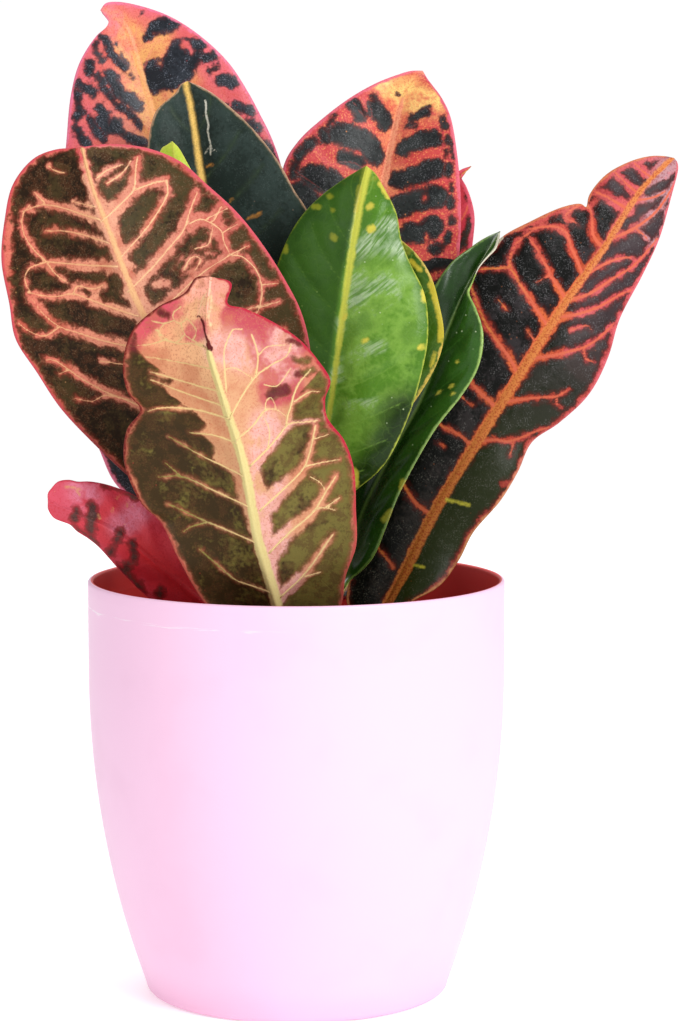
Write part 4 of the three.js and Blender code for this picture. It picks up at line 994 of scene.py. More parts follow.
leafBackLeft = {
    "name": "leaf_back_left", "slot": "leaf_black_pink", "stalk": 0.1, "arch": 0.06, "grain": 0.8,
    "seed": 14, "coat": 0.08, "rim": 0.5, "ribShift": [(0, -1.2)], "ribHalf": 2.2, "ribEnd": 0.88,
    "puff": 0.25,
    "rib": [
        [-1.5, 9.5, 121], [-4, 11.5, 124], [-8.5, 16, 141], [-17, 25, 166.5], [-27, 33, 198.5],
        [-35.5, 38, 228], [-41, 41, 250], [-46, 43, 267.5], [-51, 44, 280.5], [-58.5, 44, 284],
    ],
    "left": [
        [-15, 14, 134], [-34, 16, 135], [-52, 18, 144], [-58.5, 21, 156], [-65, 25, 172],
        [-69, 30, 199], [-70.5, 33, 224], [-68.5, 36, 243.5], [-67, 38, 259], [-64.5, 40, 268.5],
        [-59.5, 42, 276.5], [-57, 42.5, 278.5], [-56, 43, 280.5], [-57, 43.5, 282],
    ],
    "right": [
        [-5, 20, 150], [-3, 27, 170], [0, 33, 195], [-1, 37, 217], [-5, 39, 238.5], [-8, 39, 247],
        [-11, 40, 253], [-14.5, 41, 259.5], [-20.5, 42, 268.5], [-29, 43, 276.5], [-37.5, 44, 282],
        [-45.5, 45, 285], [-53.5, 45, 286.5], [-57, 44.5, 286],
    ],
    "core": [(0, 0.1, 0.1), (0.6, 0.08, 0.06), (0.62, 0.1, 2), (0.7, 0.14, 2), (0.72, 2, 2), (1, 2, 2)],
    "veins": [
        (0.5, 0.9, [(0.72, -0.05), (0.74, -0.45), (0.755, -0.62), (0.774, -0.715), (0.808, -0.82)]),
        (0.5, 0.9, [
            (0.74, -0.05), (0.762, -0.19), (0.786, -0.31), (0.816, -0.49), (0.83, -0.61), (0.85, -0.88),
        ]),
        (0.5, 0.9, [(0.83, -0.1), (0.857, -0.26), (0.877, -0.415), (0.899, -0.6), (0.919, -0.73)]),
        (0.4, 0.9, [(0.87, -0.05), (0.9, -0.2), (0.93, -0.4)]),
        (0.6, 1.3, [(0.865, 0), (0.872, 0.3), (0.868, 0.6), (0.85, 0.8), (0.85, 0.95)]),
        (0.5, 0.8, [(0.775, 0), (0.775, 0.3), (0.78, 0.6), (0.78, 0.75), (0.76, 0.9)]),
        (0.4, 0.7, [(0.73, 0.75), (0.72, 0.86)]),
        (0.5, 1.0, [(0.915, 0.02), (0.922, 0.4), (0.915, 0.7)]),
        *evenVeins(6, 0.1, 0.64, 0.09, 0.8, 1.2, 41),
    ],
    "clear": [(0.6, [(0.85, 0.28), (0.845, 0.31)]), (0.7, [(0.815, 0.78), (0.835, 0.8)])],
    "cells": [
        (1.9, [(0.868, -0.5), (0.85, -0.43), (0.832, -0.36)]),
        (2.2, [(0.833, -0.4), (0.822, -0.28), (0.81, -0.2)]), (1.5, [(0.868, -0.64), (0.858, -0.59)]),
        (1.1, [(0.846, -0.56), (0.824, -0.46), (0.807, -0.34)]),
        (1.2, [(0.803, -0.31), (0.789, -0.26), (0.776, -0.2)]), (1.5, [(0.818, -0.63), (0.803, -0.56)]),
        (2.4, [(0.795, -0.6), (0.782, -0.54), (0.788, -0.46)]),
        (1.5, [(0.78, -0.46), (0.762, -0.34), (0.746, -0.2)]),
        (1.3, [(0.803, -0.74), (0.78, -0.66), (0.764, -0.6)]),
        (1.5, [(0.863, -0.9), (0.853, -0.79), (0.84, -0.7)]),
        (1.5, [(0.846, -0.91), (0.82, -0.87), (0.81, -0.9)]),
        (1.7, [(0.792, -0.89), (0.775, -0.83), (0.765, -0.78)]), (1.6, [(0.895, -0.81), (0.88, -0.79)]),
        (1.1, [(0.928, -0.84), (0.908, -0.72), (0.893, -0.62)]),
        (1.0, [(0.938, -0.76), (0.931, -0.62), (0.91, -0.5)]),
        (1.2, [(0.912, -0.5), (0.89, -0.37), (0.873, -0.26)]),
        (0.4, [(0.916, -0.37), (0.902, -0.31), (0.872, -0.19)]), (0.5, [(0.862, -0.21), (0.853, -0.18)]),
        (5.4, [(0.832, 0.22), (0.82, 0.38), (0.815, 0.56), (0.818, 0.68)]),
        (2.2, [(0.826, 0.8), (0.81, 0.9)]), (1.5, [(0.79, 0.84), (0.782, 0.94)]),
        (1.2, [(0.895, 0.34), (0.892, 0.48), (0.896, 0.6)]),
        (2.7, [(0.886, 0.68), (0.88, 0.8), (0.87, 0.88)]), (0.35, [(0.924, 0.6), (0.923, 0.76)]),
        (2.0, [(0.745, 0.84), (0.728, 0.93)]), (1.2, [(0.768, 0.8), (0.764, 0.87)]),
        (1.8, [(0.694, 0.84), (0.676, 0.93)]), (1.0, [(0.715, 0.68), (0.71, 0.75)]),
        (1.7, [(0.66, 0.86), (0.645, 0.94)]), (1.5, [(0.63, 0.84), (0.615, 0.93)]),
        (1.3, [(0.67, 0.72), (0.65, 0.78)]),
    ],
    "wash": [
        (3.4, [(0.74, 0), (0.8, -0.04), (0.86, -0.05), (0.91, -0.1)]), (1.8, [(0.87, 0.1), (0.873, 0.6)]),
        (1.5, [(0.78, 0.1), (0.785, 0.5)]),
    ],
    "upper": {
        "inner": (234, 148, 104), "middle": (228, 118, 108), "outer": (226, 104, 118),
        "tip": (238, 134, 148), "tipFrom": 0.92, "deep": (206, 78, 70), "washTone": (242, 180, 108),
        "dotTone": (176, 48, 40), "dotting": 0.5, "granules": 0.22, "dark": (26, 29, 36),
        "darkToo": (44, 49, 57), "shore": (110, 44, 46), "shoreShare": 0.5, "spark": (140, 146, 160),
        "vein": (232, 128, 116), "rib": (238, 170, 100), "ribSpeck": (220, 124, 78),
        "margin": (226, 116, 146), "rimEnd": 0.7, "ragged": 1.5, "sparkle": 0.4, "speckle": 0.5,
        "mottling": 0.4, "grain": 0.55, "netting": 0.0, "veining": 0.3,
    },
}

leafBackRight = {
    "name": "leaf_back_right", "slot": "leaf_black_red", "stalk": 0.1, "arch": 0.06, "grain": 0.8,
    "seed": 15, "coat": 0.06, "rim": 0.5, "ribShift": [(0, 0.8)], "ribHalf": 2.4, "ribEnd": 0.9,
    "puff": 0.25,
    "rib": [
        [4, 11.5, 131], [5, 14, 134.5], [8, 18, 149], [15, 24, 175.5], [20, 29, 204.5], [24.5, 33, 231],
        [28, 36, 248.5], [31.5, 38, 260], [37, 39.5, 266],
    ],
    "left": [
        [0, 18, 158], [-2, 22, 178], [-4, 25, 202], [-4.5, 27, 222.5], [-4, 28, 238], [0.5, 29, 245.5],
        [7.5, 31, 252], [15.5, 33, 258], [23.5, 35, 262.5], [30, 37, 265], [33.5, 38.5, 266],
    ],
    "right": [
        [16, 19, 153], [29, 24, 164], [41, 30, 184], [46.5, 32, 201.5], [48, 31, 216], [48, 29, 229.5],
        [47, 29, 241], [45, 31, 252.5], [42.5, 34, 258], [40, 36.5, 261.5], [38.5, 38, 263.5],
    ],
    "core": [(0, 0.1, 0.1), (0.5, 0.07, 0.12), (0.57, 0.1, 0.14), (0.59, 2, 2), (1, 2, 2)],
    "veins": [
        (0.5, 0.9, [(0.81, 0), (0.82, -0.3), (0.825, -0.55), (0.835, -0.9)]),
        (0.4, 0.5, [(0.825, -0.4), (0.85, -0.6), (0.86, -0.8)]),
        (0.5, 0.8, [(0.74, 0), (0.735, -0.4), (0.71, -0.62), (0.72, -0.85)]),
        (0.5, 0.8, [(0.64, 0), (0.645, -0.4), (0.65, -0.9)]),
        (0.5, 0.8, [(0.845, 0.1), (0.858, 0.4), (0.86, 0.8)]),
        (0.5, 0.9, [(0.77, 0.05), (0.787, 0.35), (0.795, 0.6), (0.8, 0.8)]),
        (0.5, 0.9, [(0.71, 0.05), (0.722, 0.35), (0.73, 0.6), (0.742, 0.8)]),
        (0.5, 0.9, [(0.655, 0.05), (0.662, 0.4), (0.668, 0.6), (0.68, 0.8)]),
        (0.5, 0.8, [(0.6, 0.05), (0.61, 0.4), (0.62, 0.7)]),
        *evenVeins(5, 0.1, 0.5, 0.05, 0.8, 1.2, 42),
    ],
    "clear": [(0.6, [(0.62, 0.62), (0.628, 0.6)]), (0.5, [(0.7, 0.55), (0.705, 0.57)])],
    "cells": [
        (2.8, [(0.852, -0.22), (0.855, -0.4), (0.858, -0.56)]), (1.2, [(0.868, -0.6), (0.876, -0.78)]),
        (2.1, [(0.832, -0.86), (0.828, -0.72), (0.82, -0.64)]),
        (3.6, [(0.782, -0.2), (0.786, -0.4), (0.776, -0.6), (0.764, -0.72)]),
        (2.4, [(0.742, -0.36), (0.733, -0.52)]), (1.6, [(0.75, -0.88), (0.74, -0.8)]),
        (3.8, [(0.672, -0.34), (0.668, -0.55), (0.662, -0.72)]), (3.4, [(0.62, -0.8), (0.605, -0.6)]),
        (1.5, [(0.72, -0.9), (0.69, -0.91), (0.64, -0.9)]), (0.8, [(0.79, -0.92), (0.765, -0.9)]),
        (1.5, [(0.872, 0.34), (0.88, 0.46), (0.884, 0.58)]), (0.4, [(0.895, 0.6), (0.897, 0.68)]),
        (0.8, [(0.856, 0.26), (0.86, 0.44)]),
        (2.7, [(0.81, 0.24), (0.82, 0.4), (0.828, 0.55), (0.828, 0.7)]),
        (3.0, [(0.746, 0.2), (0.75, 0.4), (0.76, 0.58), (0.766, 0.7)]),
        (3.5, [(0.69, 0.26), (0.697, 0.42), (0.704, 0.58), (0.71, 0.72)]),
        (3.2, [(0.632, 0.4), (0.634, 0.56), (0.646, 0.68)]), (1.5, [(0.597, 0.7), (0.603, 0.8)]),
        (1.3, [(0.865, 0.87), (0.85, 0.88)]), (1.0, [(0.832, 0.9), (0.822, 0.89)]),
        (0.9, [(0.8, 0.86), (0.79, 0.85)]), (1.3, [(0.77, 0.88), (0.757, 0.87)]),
        (0.9, [(0.733, 0.9), (0.722, 0.89)]), (1.2, [(0.7, 0.87), (0.688, 0.88)]),
        (1.0, [(0.665, 0.89), (0.655, 0.9)]), (1.4, [(0.628, 0.86), (0.615, 0.85)]),
        (0.6, [(0.81, 0.94), (0.79, 0.94)]), (0.4, [(0.917, -0.22), (0.918, -0.14)]),
    ],
    "wash": [
        (3.0, [(0.915, -0.75), (0.925, -0.3), (0.93, 0)]),
        (2.4, [(0.93, 0.1), (0.915, 0.4), (0.905, 0.7)]),
    ],
    "upper": {
        "inner": (222, 128, 92), "middle": (204, 76, 66), "outer": (204, 76, 80), "tip": (236, 152, 142),
        "tipFrom": 0.955, "deep": (186, 54, 56), "washTone": (246, 208, 124), "dark": (22, 24, 26),
        "darkToo": (42, 46, 46), "shore": (96, 30, 28), "shoreShare": 0.55, "spark": (128, 128, 132),
        "vein": (222, 100, 92), "rib": (234, 152, 116), "ribSpeck": (216, 108, 86),
        "margin": (214, 98, 116), "rimEnd": 0.75, "ragged": 1.3, "speckle": 0.6, "innerEnd": 0.4,
        "grain": 0.45, "netting": 0.0, "veining": 0.18, "dotTone": (236, 150, 92), "dotting": 0.6,
        "granules": 0.6,
    },
}

leafDarkGreen = {
    "name": "leaf_dark_green", "slot": "leaf_blackish_green", "stalk": 0.1, "arch": 0.07, "grain": 0.8,
    "seed": 16, "rim": 0.5, "ribShift": [(0, -0.8)], "ribHalf": 2.1, "bump": 0.06, "ribThinning": 0.62,
    "specular": 0.06,
    "rib": [
        [1.5, 12, 150], [0.5, 14, 153.5], [-3, 15.5, 160], [-15, 17, 184.5], [-23.5, 18, 213],
        [-27.5, 19, 238], [-30, 19, 255], [-31.5, 18, 262.5],
    ],
    "left": [
        [-12, 13, 167], [-27, 13, 179], [-40, 12, 196], [-45.5, 12, 218], [-43, 13, 243.5],
        [-42, 14, 250], [-40.5, 15, 254], [-38, 16, 256.5], [-35, 17, 259], [-33.5, 17.5, 261.5],
    ],
    "right": [
        [2.5, 16, 171], [6, 16, 190], [7, 16, 207], [3.5, 14, 224.5], [-0.5, 13, 231],
        [-5, 14, 239], [-12, 15, 248], [-20, 16, 255.5], [-26, 17, 260],
    ],
    "core": [(0, 0.02, 0.02), (1, 0.02, 0.02)],
    "veins": evenVeins(8, 0.1, 0.86, 0.06, 0.25, 0.1, 43),
    "flecks": [
        (0.35, [(0.61, 0.44), (0.607, 0.6)]), (0.25, [(0.56, 0.35), (0.565, 0.42)]),
        (0.3, [(0.78, 0.08), (0.775, 0.2)]), (0.25, [(0.67, 0.3), (0.672, 0.34)]),
    ],
    "scars": [
        (0.16, [
            (0.8, 0.2), (0.83, 0.27), (0.85, 0.27), (0.87, 0.36), (0.89, 0.38), (0.91, 0.5), (0.925, 0.6),
        ]),
        (0.12, [(0.81, 0.1), (0.815, 0.2), (0.8, 0.32)]),
    ],
    "upper": {
        "inner": (70, 84, 60), "middle": (50, 62, 52), "outer": (44, 56, 48), "tip": (84, 96, 84),
        "deep": (60, 76, 60), "dark": (37, 47, 43), "darkToo": (50, 62, 58), "shore": (48, 60, 44),
        "shoreShare": 0.5, "spark": (84, 98, 92), "vein": (66, 84, 62), "rib": (234, 192, 106),
        "ribSpeck": (186, 150, 66), "margin": (176, 140, 112), "rimEnd": 0.35, "rimRagged": 0.6,
        "ragged": 0.8, "sparkle": 0.3, "rough": 0.34, "veining": 0.35, "fleckTone": (190, 130, 60),
        "scarTone": (206, 204, 188), "ribSoft": 0.9, "netting": 0.05,
    },
}

leafBrightGreen = {
    "name": "leaf_bright_green", "slot": "leaf_green", "stalk": 0.05, "arch": 0.09, "grain": 0.72,
    "seed": 17, "coat": 0.08, "rim": 9, "ribShift": [(0, 0.5)], "ribHalf": 0.3, "ribThinning": -3.4,
    "bump": 0.09, "specular": 0.14, "leftRough": 0.3,
    "rib": [
        [3.5, 2, 134], [4, -1, 137], [4.5, -4, 148], [8.5, -6, 164.5], [11, -7, 182], [13, -6, 197.5],
        [15.5, -4, 214.5], [18, 0, 228.5], [20, 4, 238],
    ],
    "left": [
        [-2, -3, 147], [-6, -6, 160], [-8, -8, 180], [-7.5, -9, 200], [-4.5, -8, 212.5],
        [0.5, -5, 222.5], [7, -1, 229.5], [14, 2, 234.5],
    ],
    "right": [
        [10, -5, 140.5], [17.5, -8, 146.5], [25, -10, 153.5], [31, -11, 165], [35.5, -10, 179],
        [37.5, -9, 190.5], [36.5, -7, 202], [32.5, -5, 210.5], [30, -4, 217], [28.5, -2, 225],
        [25, 1, 232], [22.5, 3, 236],
    ],
    "wash": [(9, [(0.2, 0.5), (0.45, 0.5), (0.66, 0.45)]), (3, [(0.25, -0.5), (0.4, -0.4)])],
    "veins": evenVeins(9, 0.12, 0.88, 0.09, 0.3, 0.1, 44),
    "flecks": [
        (1.0, [(0.878, 0.33), (0.88, 0.37)]), (1.2, [(0.82, 0.38), (0.822, 0.4)]),
        (1.0, [(0.778, -0.36), (0.777, -0.33)]), (0.8, [(0.87, -0.84), (0.87, -0.8)]),
        (1.0, [(0.825, -0.92), (0.828, -0.86)]), (0.9, [(0.7, -1), (0.69, -0.96)]),
        (0.7, [(0.542, 0.3), (0.545, 0.33)]), (0.7, [(0.527, 0.92), (0.53, 0.96)]),
        (0.9, [(0.64, 0.98), (0.66, 1)]), (1.2, [(0.2, 0.66), (0.16, 0.86)]),
        (0.5, [(0.84, -0.58), (0.84, -0.55)]), (0.6, [(0.9, 0.95), (0.94, 0.9)]),
        (0.5, [(0.6, 0.04), (0.61, 0.06)]), (0.7, [(0.93, -0.12), (0.9, -0.05), (0.87, -0.03)]),
    ],
    # Painted shadow: a broad, soft dark patch along the lower right margin, where the leaves beside it
    # shade it
    "cells": [(7.5, [(0.02, 0.8), (0.15, 0.95), (0.28, 1.0), (0.36, 1.02)])],
    # Painted sheen: pale streaks right of the rib, where the gloss catches the light
    "blush": [
        (1.1, [(0.59, 0.08), (0.62, 0.3), (0.66, 0.62)]),
        (1.1, [(0.645, 0.12), (0.68, 0.45), (0.7, 0.66)]),
        (0.9, [(0.69, 0.12), (0.735, 0.4), (0.765, 0.88)]),
        (0.6, [(0.77, 0.2), (0.81, 0.55), (0.83, 0.8)]), (0.4, [(0.45, 0.05), (0.51, 0.25), (0.53, 0.5)]),
        (0.1, [(0.33, 0.05), (0.375, 0.3), (0.39, 0.6)]),
    ],
    # Dark tones colour the painted shadow, the pale blush tones the painted sheen, and the left and low
    # multiplies are painted shade
    "upper": {
        "inner": (78, 122, 32), "middle": (82, 127, 35), "outer": (70, 112, 28), "tip": (160, 164, 56),
        "tipFrom": 0.93, "deep": (58, 102, 24), "vein": (126, 162, 72), "washTone": (118, 158, 62),
        "rib": (190, 192, 74), "ribSpeck": (166, 174, 60), "lowTint": (0.85, 0.9, 0.75),
        "blushTone": (186, 204, 170), "blushing": 0.75, "streaky": 0.85, "leftTint": (0.26, 0.33, 0.12),
        "ribSoft": 0.6, "dotTone": (196, 212, 170), "dotting": 0.6, "dark": (34, 56, 16),
        "darkToo": (28, 46, 14), "soft": 5.0, "ragged": 0.4, "shoreShare": 0.0, "sparkle": 0.0,
        "margin": (176, 184, 70), "rimEnd": 0.2, "rimRagged": 0.6, "netting": 0.1, "netReach": 9,
        "veining": 0.5, "rough": 0.27, "innerEnd": 0.6, "fleckTone": (196, 186, 70), "speckle": 0.2,
        "grain": 0.15,
    },
    "under": {
        "inner": (130, 172, 84), "middle": (122, 166, 80), "outer": (112, 156, 70), "tip": (170, 184, 90),
        "deep": (104, 150, 70), "vein": (170, 196, 110), "rib": (206, 214, 130),
        "ribSpeck": (190, 200, 110), "margin": (170, 190, 90), "rimEnd": 0.25, "rimRagged": 0.5,
        "rough": 0.5,
    },
}
greenUnder = leafBrightGreen["under"]

leafGreenEdge = {
    "name": "leaf_green_edge", "slot": "leaf_green_yellow", "stalk": 0.12, "arch": 0.04, "grain": 0.85,
    "seed": 18, "coat": 0.04, "rim": 9, "ribHalf": 1.2, "bump": 0.06,
    "rib": [
        [7.5, 7.5, 146], [10, 8, 149.5], [14, 8.5, 158], [20, 9, 170.5], [26.5, 9, 191],
        [28.5, 9, 207], [30, 8, 217],
    ],
    "left": [[12, 9, 160], [8, 9, 178], [12, 9, 196], [20, 8, 209], [26, 8, 215]],
    "right": [
        [22, 8, 157], [33, 6, 169], [40.5, 6, 181.5], [42.5, 6, 189.5], [41, 7, 199],
        [38.5, 7, 207], [34.5, 8, 213],
    ],
    "veins": evenVeins(6, 0.15, 0.85, 0.07, 0.3, 0.1, 45),
    "flecks": [
        (0.9, [(0.8, 0.93), (0.7, 0.97), (0.6, 0.95)]), (0.6, [(0.86, 0.8), (0.9, 0.6)]),
        (0.5, [(0.55, 0.9), (0.5, 0.93)]),
    ],
    # Spread from the bright green face, with its painted shade on the lower blade
    "upper": {
        **leafBrightGreen["upper"], "soft": 0.4, "leftTint": (1, 1, 1), "inner": (42, 72, 15),
        "middle": (47, 79, 15), "outer": (60, 92, 17), "margin": (196, 168, 74), "rimEnd": 0.5,
        "rimRagged": 1.4, "fleckTone": (188, 172, 52),
    },
    "under": greenUnder,
}

leafFolded = {
    "name": "leaf_folded", "slot": "leaf_deep_green", "stalk": 0.07, "arch": 0.06, "grain": 0.78,
    "seed": 19, "coat": 0.35, "rim": 9, "ribHalf": 1.1, "bump": 0.06,
    "rib": [
        [7, 4.5, 111.5], [10.5, 4, 114], [14, 5, 119], [18.5, 9, 136], [26.5, 11, 152.5], [36, 14, 170],
        [43.5, 16, 189.5], [50, 19, 204], [59.5, 25, 219],
    ],
    "left": [
        [12, 9, 124], [16, 11, 141], [22, 12, 158.5], [29, 13, 176], [35, 14, 192], [40, 15, 203.5],
        [45, 17, 210.5], [50.5, 19, 214.5], [55.5, 23, 217.5],
    ],
    "right": [
        [16, 5, 119], [21.5, 3, 125], [25.5, 3, 134], [31, 4, 146.5], [39, 6, 161], [47.5, 8, 172],
        [52.5, 9, 180.5], [54, 11, 189.5], [52, 13, 197], [50, 15.5, 201.5], [51, 17.5, 204],
        [53, 18.5, 208.5], [55.5, 19.5, 211.5], [58, 21, 214], [59, 23, 216.5],
    ],
    "veins": evenVeins(8, 0.1, 0.88, 0.08, 0.28, 0.1, 46),
    "flecks": [
        (0.5, [(0.575, 0.63), (0.577, 0.68)]), (0.4, [(0.55, 0.78), (0.553, 0.82)]),
        (0.5, [(0.56, 0.4), (0.565, 0.45)]), (0.35, [(0.64, 0.53), (0.642, 0.57)]),
        (0.9, [(0.2, 0.9), (0.22, 1)]), (0.8, [(0.3, 0.96), (0.28, 1)]),
    ],
    "scars": [(0.55, [(0.87, 1), (0.92, 0.99), (0.96, 0.96), (0.99, 0.9)])],
    # Painted shade: the left half and the lower blade darkened, where they lie in shade
    "upper": {
        **leafBrightGreen["upper"], "soft": 0.4, "inner": (34, 66, 16), "middle": (44, 84, 22),
        "outer": (50, 92, 26), "tip": (52, 72, 34), "deep": (28, 56, 14), "vein": (60, 104, 38),
        "rib": (84, 106, 50), "ribSpeck": (66, 88, 40), "margin": (146, 176, 92), "rimEnd": 0.45,
        "scarTone": (206, 202, 180), "leftTint": (0.35, 0.4, 0.35), "lowTint": (0.26, 0.32, 0.24),
        "lowEnd": 0.75,
    },
    "under": greenUnder,
}

leafLowLeft = {
    "name": "leaf_low_left", "slot": "leaf_crimson", "underFront": True, "stalk": 0.1, "arch": 0.05,
    "grain": 0.72, "seed": 20, "coat": 0.1, "rim": 0, "ribHalf": 0.9, "ribEnd": 0.0,
    "rib": [
        [-2.5, 3.5, 100], [-6, 1, 101.5], [-13, -1.5, 104.5], [-23.5, -4, 111], [-37.5, -7, 123],
        [-52, -9, 135], [-70.5, -10, 143.5],
    ],
    "left": [
        [-17, -1, 103], [-32, -3, 108.5], [-42.5, -5, 115], [-50, -6, 122.5], [-56.5, -7, 130],
        [-59.5, -7.5, 132.5], [-62.5, -8, 134.5], [-64.5, -8.5, 136.5], [-67, -9, 137.5],
        [-69, -9.5, 138.5], [-70.5, -10, 141],
    ],
    "right": [
        [-12, -1, 106.5], [-25.5, -4.5, 122.5], [-32.5, -6.5, 133], [-41, -7.5, 141.5],
        [-47.5, -8, 145.5], [-52.5, -8.5, 147.5], [-56, -9.5, 148.5], [-59, -10.5, 149],
        [-62, -11, 149], [-64.5, -11, 149.5], [-67.5, -11, 149], [-69.5, -11, 147],
        [-70.5, -10.5, 145.5],
    ],
    "veins": evenVeins(6, 0.15, 0.85, 0.06, 0.06, 0.02, 47),
    "cells": [
        (1.3, [(0.87, -0.55), (0.885, -0.2), (0.887, 0.1)]),
        (1.5, [(0.8, -0.6), (0.82, -0.2), (0.83, 0), (0.82, 0.4)]),
        (1.3, [(0.69, -0.8), (0.71, -0.4), (0.725, -0.05), (0.722, 0.05)]),
        (1.2, [(0.62, -0.4), (0.65, -0.15), (0.67, 0)]), (1.3, [(0.6, -0.85), (0.62, -0.6)]),
        (1.2, [(0.5, -0.95), (0.56, -0.9), (0.62, -0.95)]),
        (1.1, [(0.75, -0.97), (0.8, -0.9), (0.85, -0.97)]), (1.2, [(0.45, -0.7), (0.47, -0.5)]),
        (1.0, [(0.76, 0.99), (0.65, 0.99)]),
    ],
    "flecks": [
        (0.25, [(0.8, 0.12), (0.802, 0.2)]), (0.2, [(0.75, 0.4), (0.745, 0.5)]),
        (0.2, [(0.86, 0.62), (0.865, 0.75)]), (0.2, [(0.73, 0.75), (0.71, 0.85)]),
        (0.2, [(0.85, 0.78), (0.9, 0.8)]), (0.25, [(0.69, 0.7), (0.68, 0.82)]),
    ],
    "wash": [(2.4, [(0.84, 0.6), (0.84, 0.9)]), (1.6, [(0.72, 0.2), (0.68, 0.45), (0.65, 0.7)])],
    # Painted shade on the left half, which faces away from the lamps
    "under": {
        "inner": (232, 58, 66), "middle": (230, 62, 76), "outer": (224, 78, 98), "tip": (222, 84, 104),
        "tipFrom": 0.8, "deep": (212, 46, 60), "dark": (78, 44, 42), "darkToo": (108, 68, 62),
        "shore": (176, 38, 48), "shoreShare": 0.8, "spark": (130, 94, 86), "vein": (216, 60, 74),
        "rib": (228, 66, 82), "ribSpeck": (206, 50, 62), "margin": (214, 60, 82), "rimEnd": 0.3,
        "washTone": (240, 136, 160), "rough": 0.45, "veining": 0.0, "ragged": 1.4,
        "fleckTone": (232, 170, 106), "netting": 0.0, "mottling": 0.6, "leftTint": (0.9, 0.84, 0.82),
        "dotTone": (244, 170, 130), "dotting": 0.7, "soft": 0.8, "grain": 0.4,
    },
    "upper": {"inner": (170, 40, 50), "middle": (150, 36, 44), "rough": 0.36},
}

leafYoung = {
    "name": "leaf_young", "slot": "leaf_lime", "stalk": 0.14, "arch": 0.05, "grain": 0.85, "seed": 21,
    "coat": 0.2, "rim": 9, "ribHalf": 1.0,
    "rib": [
        [-1.5, 7, 158], [-5, 6, 161.5], [-12, 4, 169], [-26, 0, 194], [-32.5, -2, 223], [-35, -3, 245],
    ],
    "left": [[-21, 3, 178], [-36, -1, 204], [-41.5, -3, 226], [-38, -3, 243], [-36.5, -3, 244]],
    "right": [
        [-13, 3, 178], [-20, 1, 204], [-23.5, -1, 224], [-32, -1, 241], [-33.5, -2, 243.5],
        [-34.5, -2.5, 244.5],
    ],
    "veins": evenVeins(6, 0.15, 0.85, 0.07, 0.3, 0.1, 48),
    # Spread from the bright green face, with its painted shade on the lower blade
    "upper": {
        **leafBrightGreen["upper"], "soft": 0.4, "leftTint": (1, 1, 1), "inner": (182, 200, 70),
        "middle": (186, 204, 66), "outer": (176, 196, 58), "tip": (204, 214, 78), "deep": (150, 180, 52),
        "vein": (210, 218, 110), "margin": (206, 206, 90),
    },
    "under": greenUnder,
}

leafBehind = {
    "name": "leaf_behind", "slot": "leaf_rose", "stalk": 0.12, "arch": 0.05, "grain": 0.9, "seed": 22,
    "coat": 0.1, "rim": 1.0, "ribHalf": 1.4,
    "rib": [
        [6, 10.5, 117], [8.5, 13.5, 120.5], [14, 22, 136], [30, 33, 167], [41, 38, 201],
        [45.5, 39, 221.5], [47.5, 39.5, 233], [51.5, 40, 238],
    ],
    "left": [
        [10, 24, 146], [20, 33, 168], [30, 39, 196], [38, 40, 216], [44, 40, 229], [46.5, 40, 235],
        [48.5, 40, 237],
    ],
    "right": [
        [22, 26, 144], [40, 35, 168], [49, 38, 195], [52, 38, 215.5], [52.5, 38, 223], [51.5, 38, 228],
        [50, 38.5, 232], [48.5, 39.5, 235], [49, 40, 236.5],
    ],
    "core": [(0, 0.1, 0.1), (0.5, 0.15, 0.15), (0.75, 0.2, 0.2), (0.88, 0.8, 0.8), (1, 1, 1)],
    "veins": evenVeins(8, 0.1, 0.84, 0.06, 0.6, 1.0, 49),
    "upper": {
        "inner": (214, 86, 88), "middle": (210, 70, 84), "outer": (208, 62, 84), "tip": (196, 60, 70),
        "margin": (220, 90, 110), "deep": (180, 44, 60), "netting": 0.0,
    },
}

rearTones = {
    "inner": (222, 120, 70), "middle": (212, 88, 62), "outer": (216, 86, 90),
    "dark": (34, 36, 32), "darkToo": (44, 54, 40), "vein": (222, 100, 64),
}
leafRearLeft = {
    "name": "leaf_rear_left", "slot": "leaf_rear", "stalk": 0.1, "arch": 0.07, "grain": 0.8, "seed": 23,
    "coat": 0.15, "rim": 1.3, "ribHalf": 1.7,
    "rib": [
        [0.5, 11, 108], [-1, 15.5, 110.5], [-4, 26, 117], [-10, 48, 138], [-16, 66, 168], [-20, 76, 204],
    ],
    "left": [[-20, 30, 121], [-34, 50, 146], [-37, 66, 174], [-28, 75, 196]],
    "right": [[4, 31, 121], [5, 51, 144], [1, 69, 174], [-10, 77, 197]],
    "core": [(0, 0.1, 0.1), (0.8, 0.1, 0.1), (0.93, 0.4, 0.4), (1, 1, 1)],
    "veins": evenVeins(10, 0.08, 0.88, 0.06, 0.6, 0.9, 50),
    "upper": rearTones,
}

leafRearRight = {
    "name": "leaf_rear_right", "slot": "leaf_rear", "stalk": 0.1, "arch": 0.07, "grain": 0.8, "seed": 24,
    "coat": 0.15, "rim": 1.3, "ribHalf": 1.7,
    "rib": [[5, 10, 105.5], [8, 14.5, 107.5], [12, 22, 112], [26, 42, 128], [42, 60, 156], [52, 70, 188]],
    "left": [[9, 34, 122], [19, 54, 146], [32, 68, 172], [45, 73, 187]],
    "right": [[27, 25, 115], [46, 42, 133], [60, 55, 158], [60, 66, 180]],
    "core": [(0, 0.1, 0.1), (0.8, 0.1, 0.1), (0.93, 0.4, 0.4), (1, 1, 1)],
    "veins": evenVeins(10, 0.08, 0.88, 0.06, 0.6, 0.9, 51),
    "upper": rearTones,
}

leaves = [
    leafFront, leafLeft, leafRight, leafBackLeft, leafBackRight, leafDarkGreen, leafBrightGreen,
    leafGreenEdge, leafFolded, leafLowLeft, leafYoung, leafBehind, leafRearLeft, leafRearRight,
]

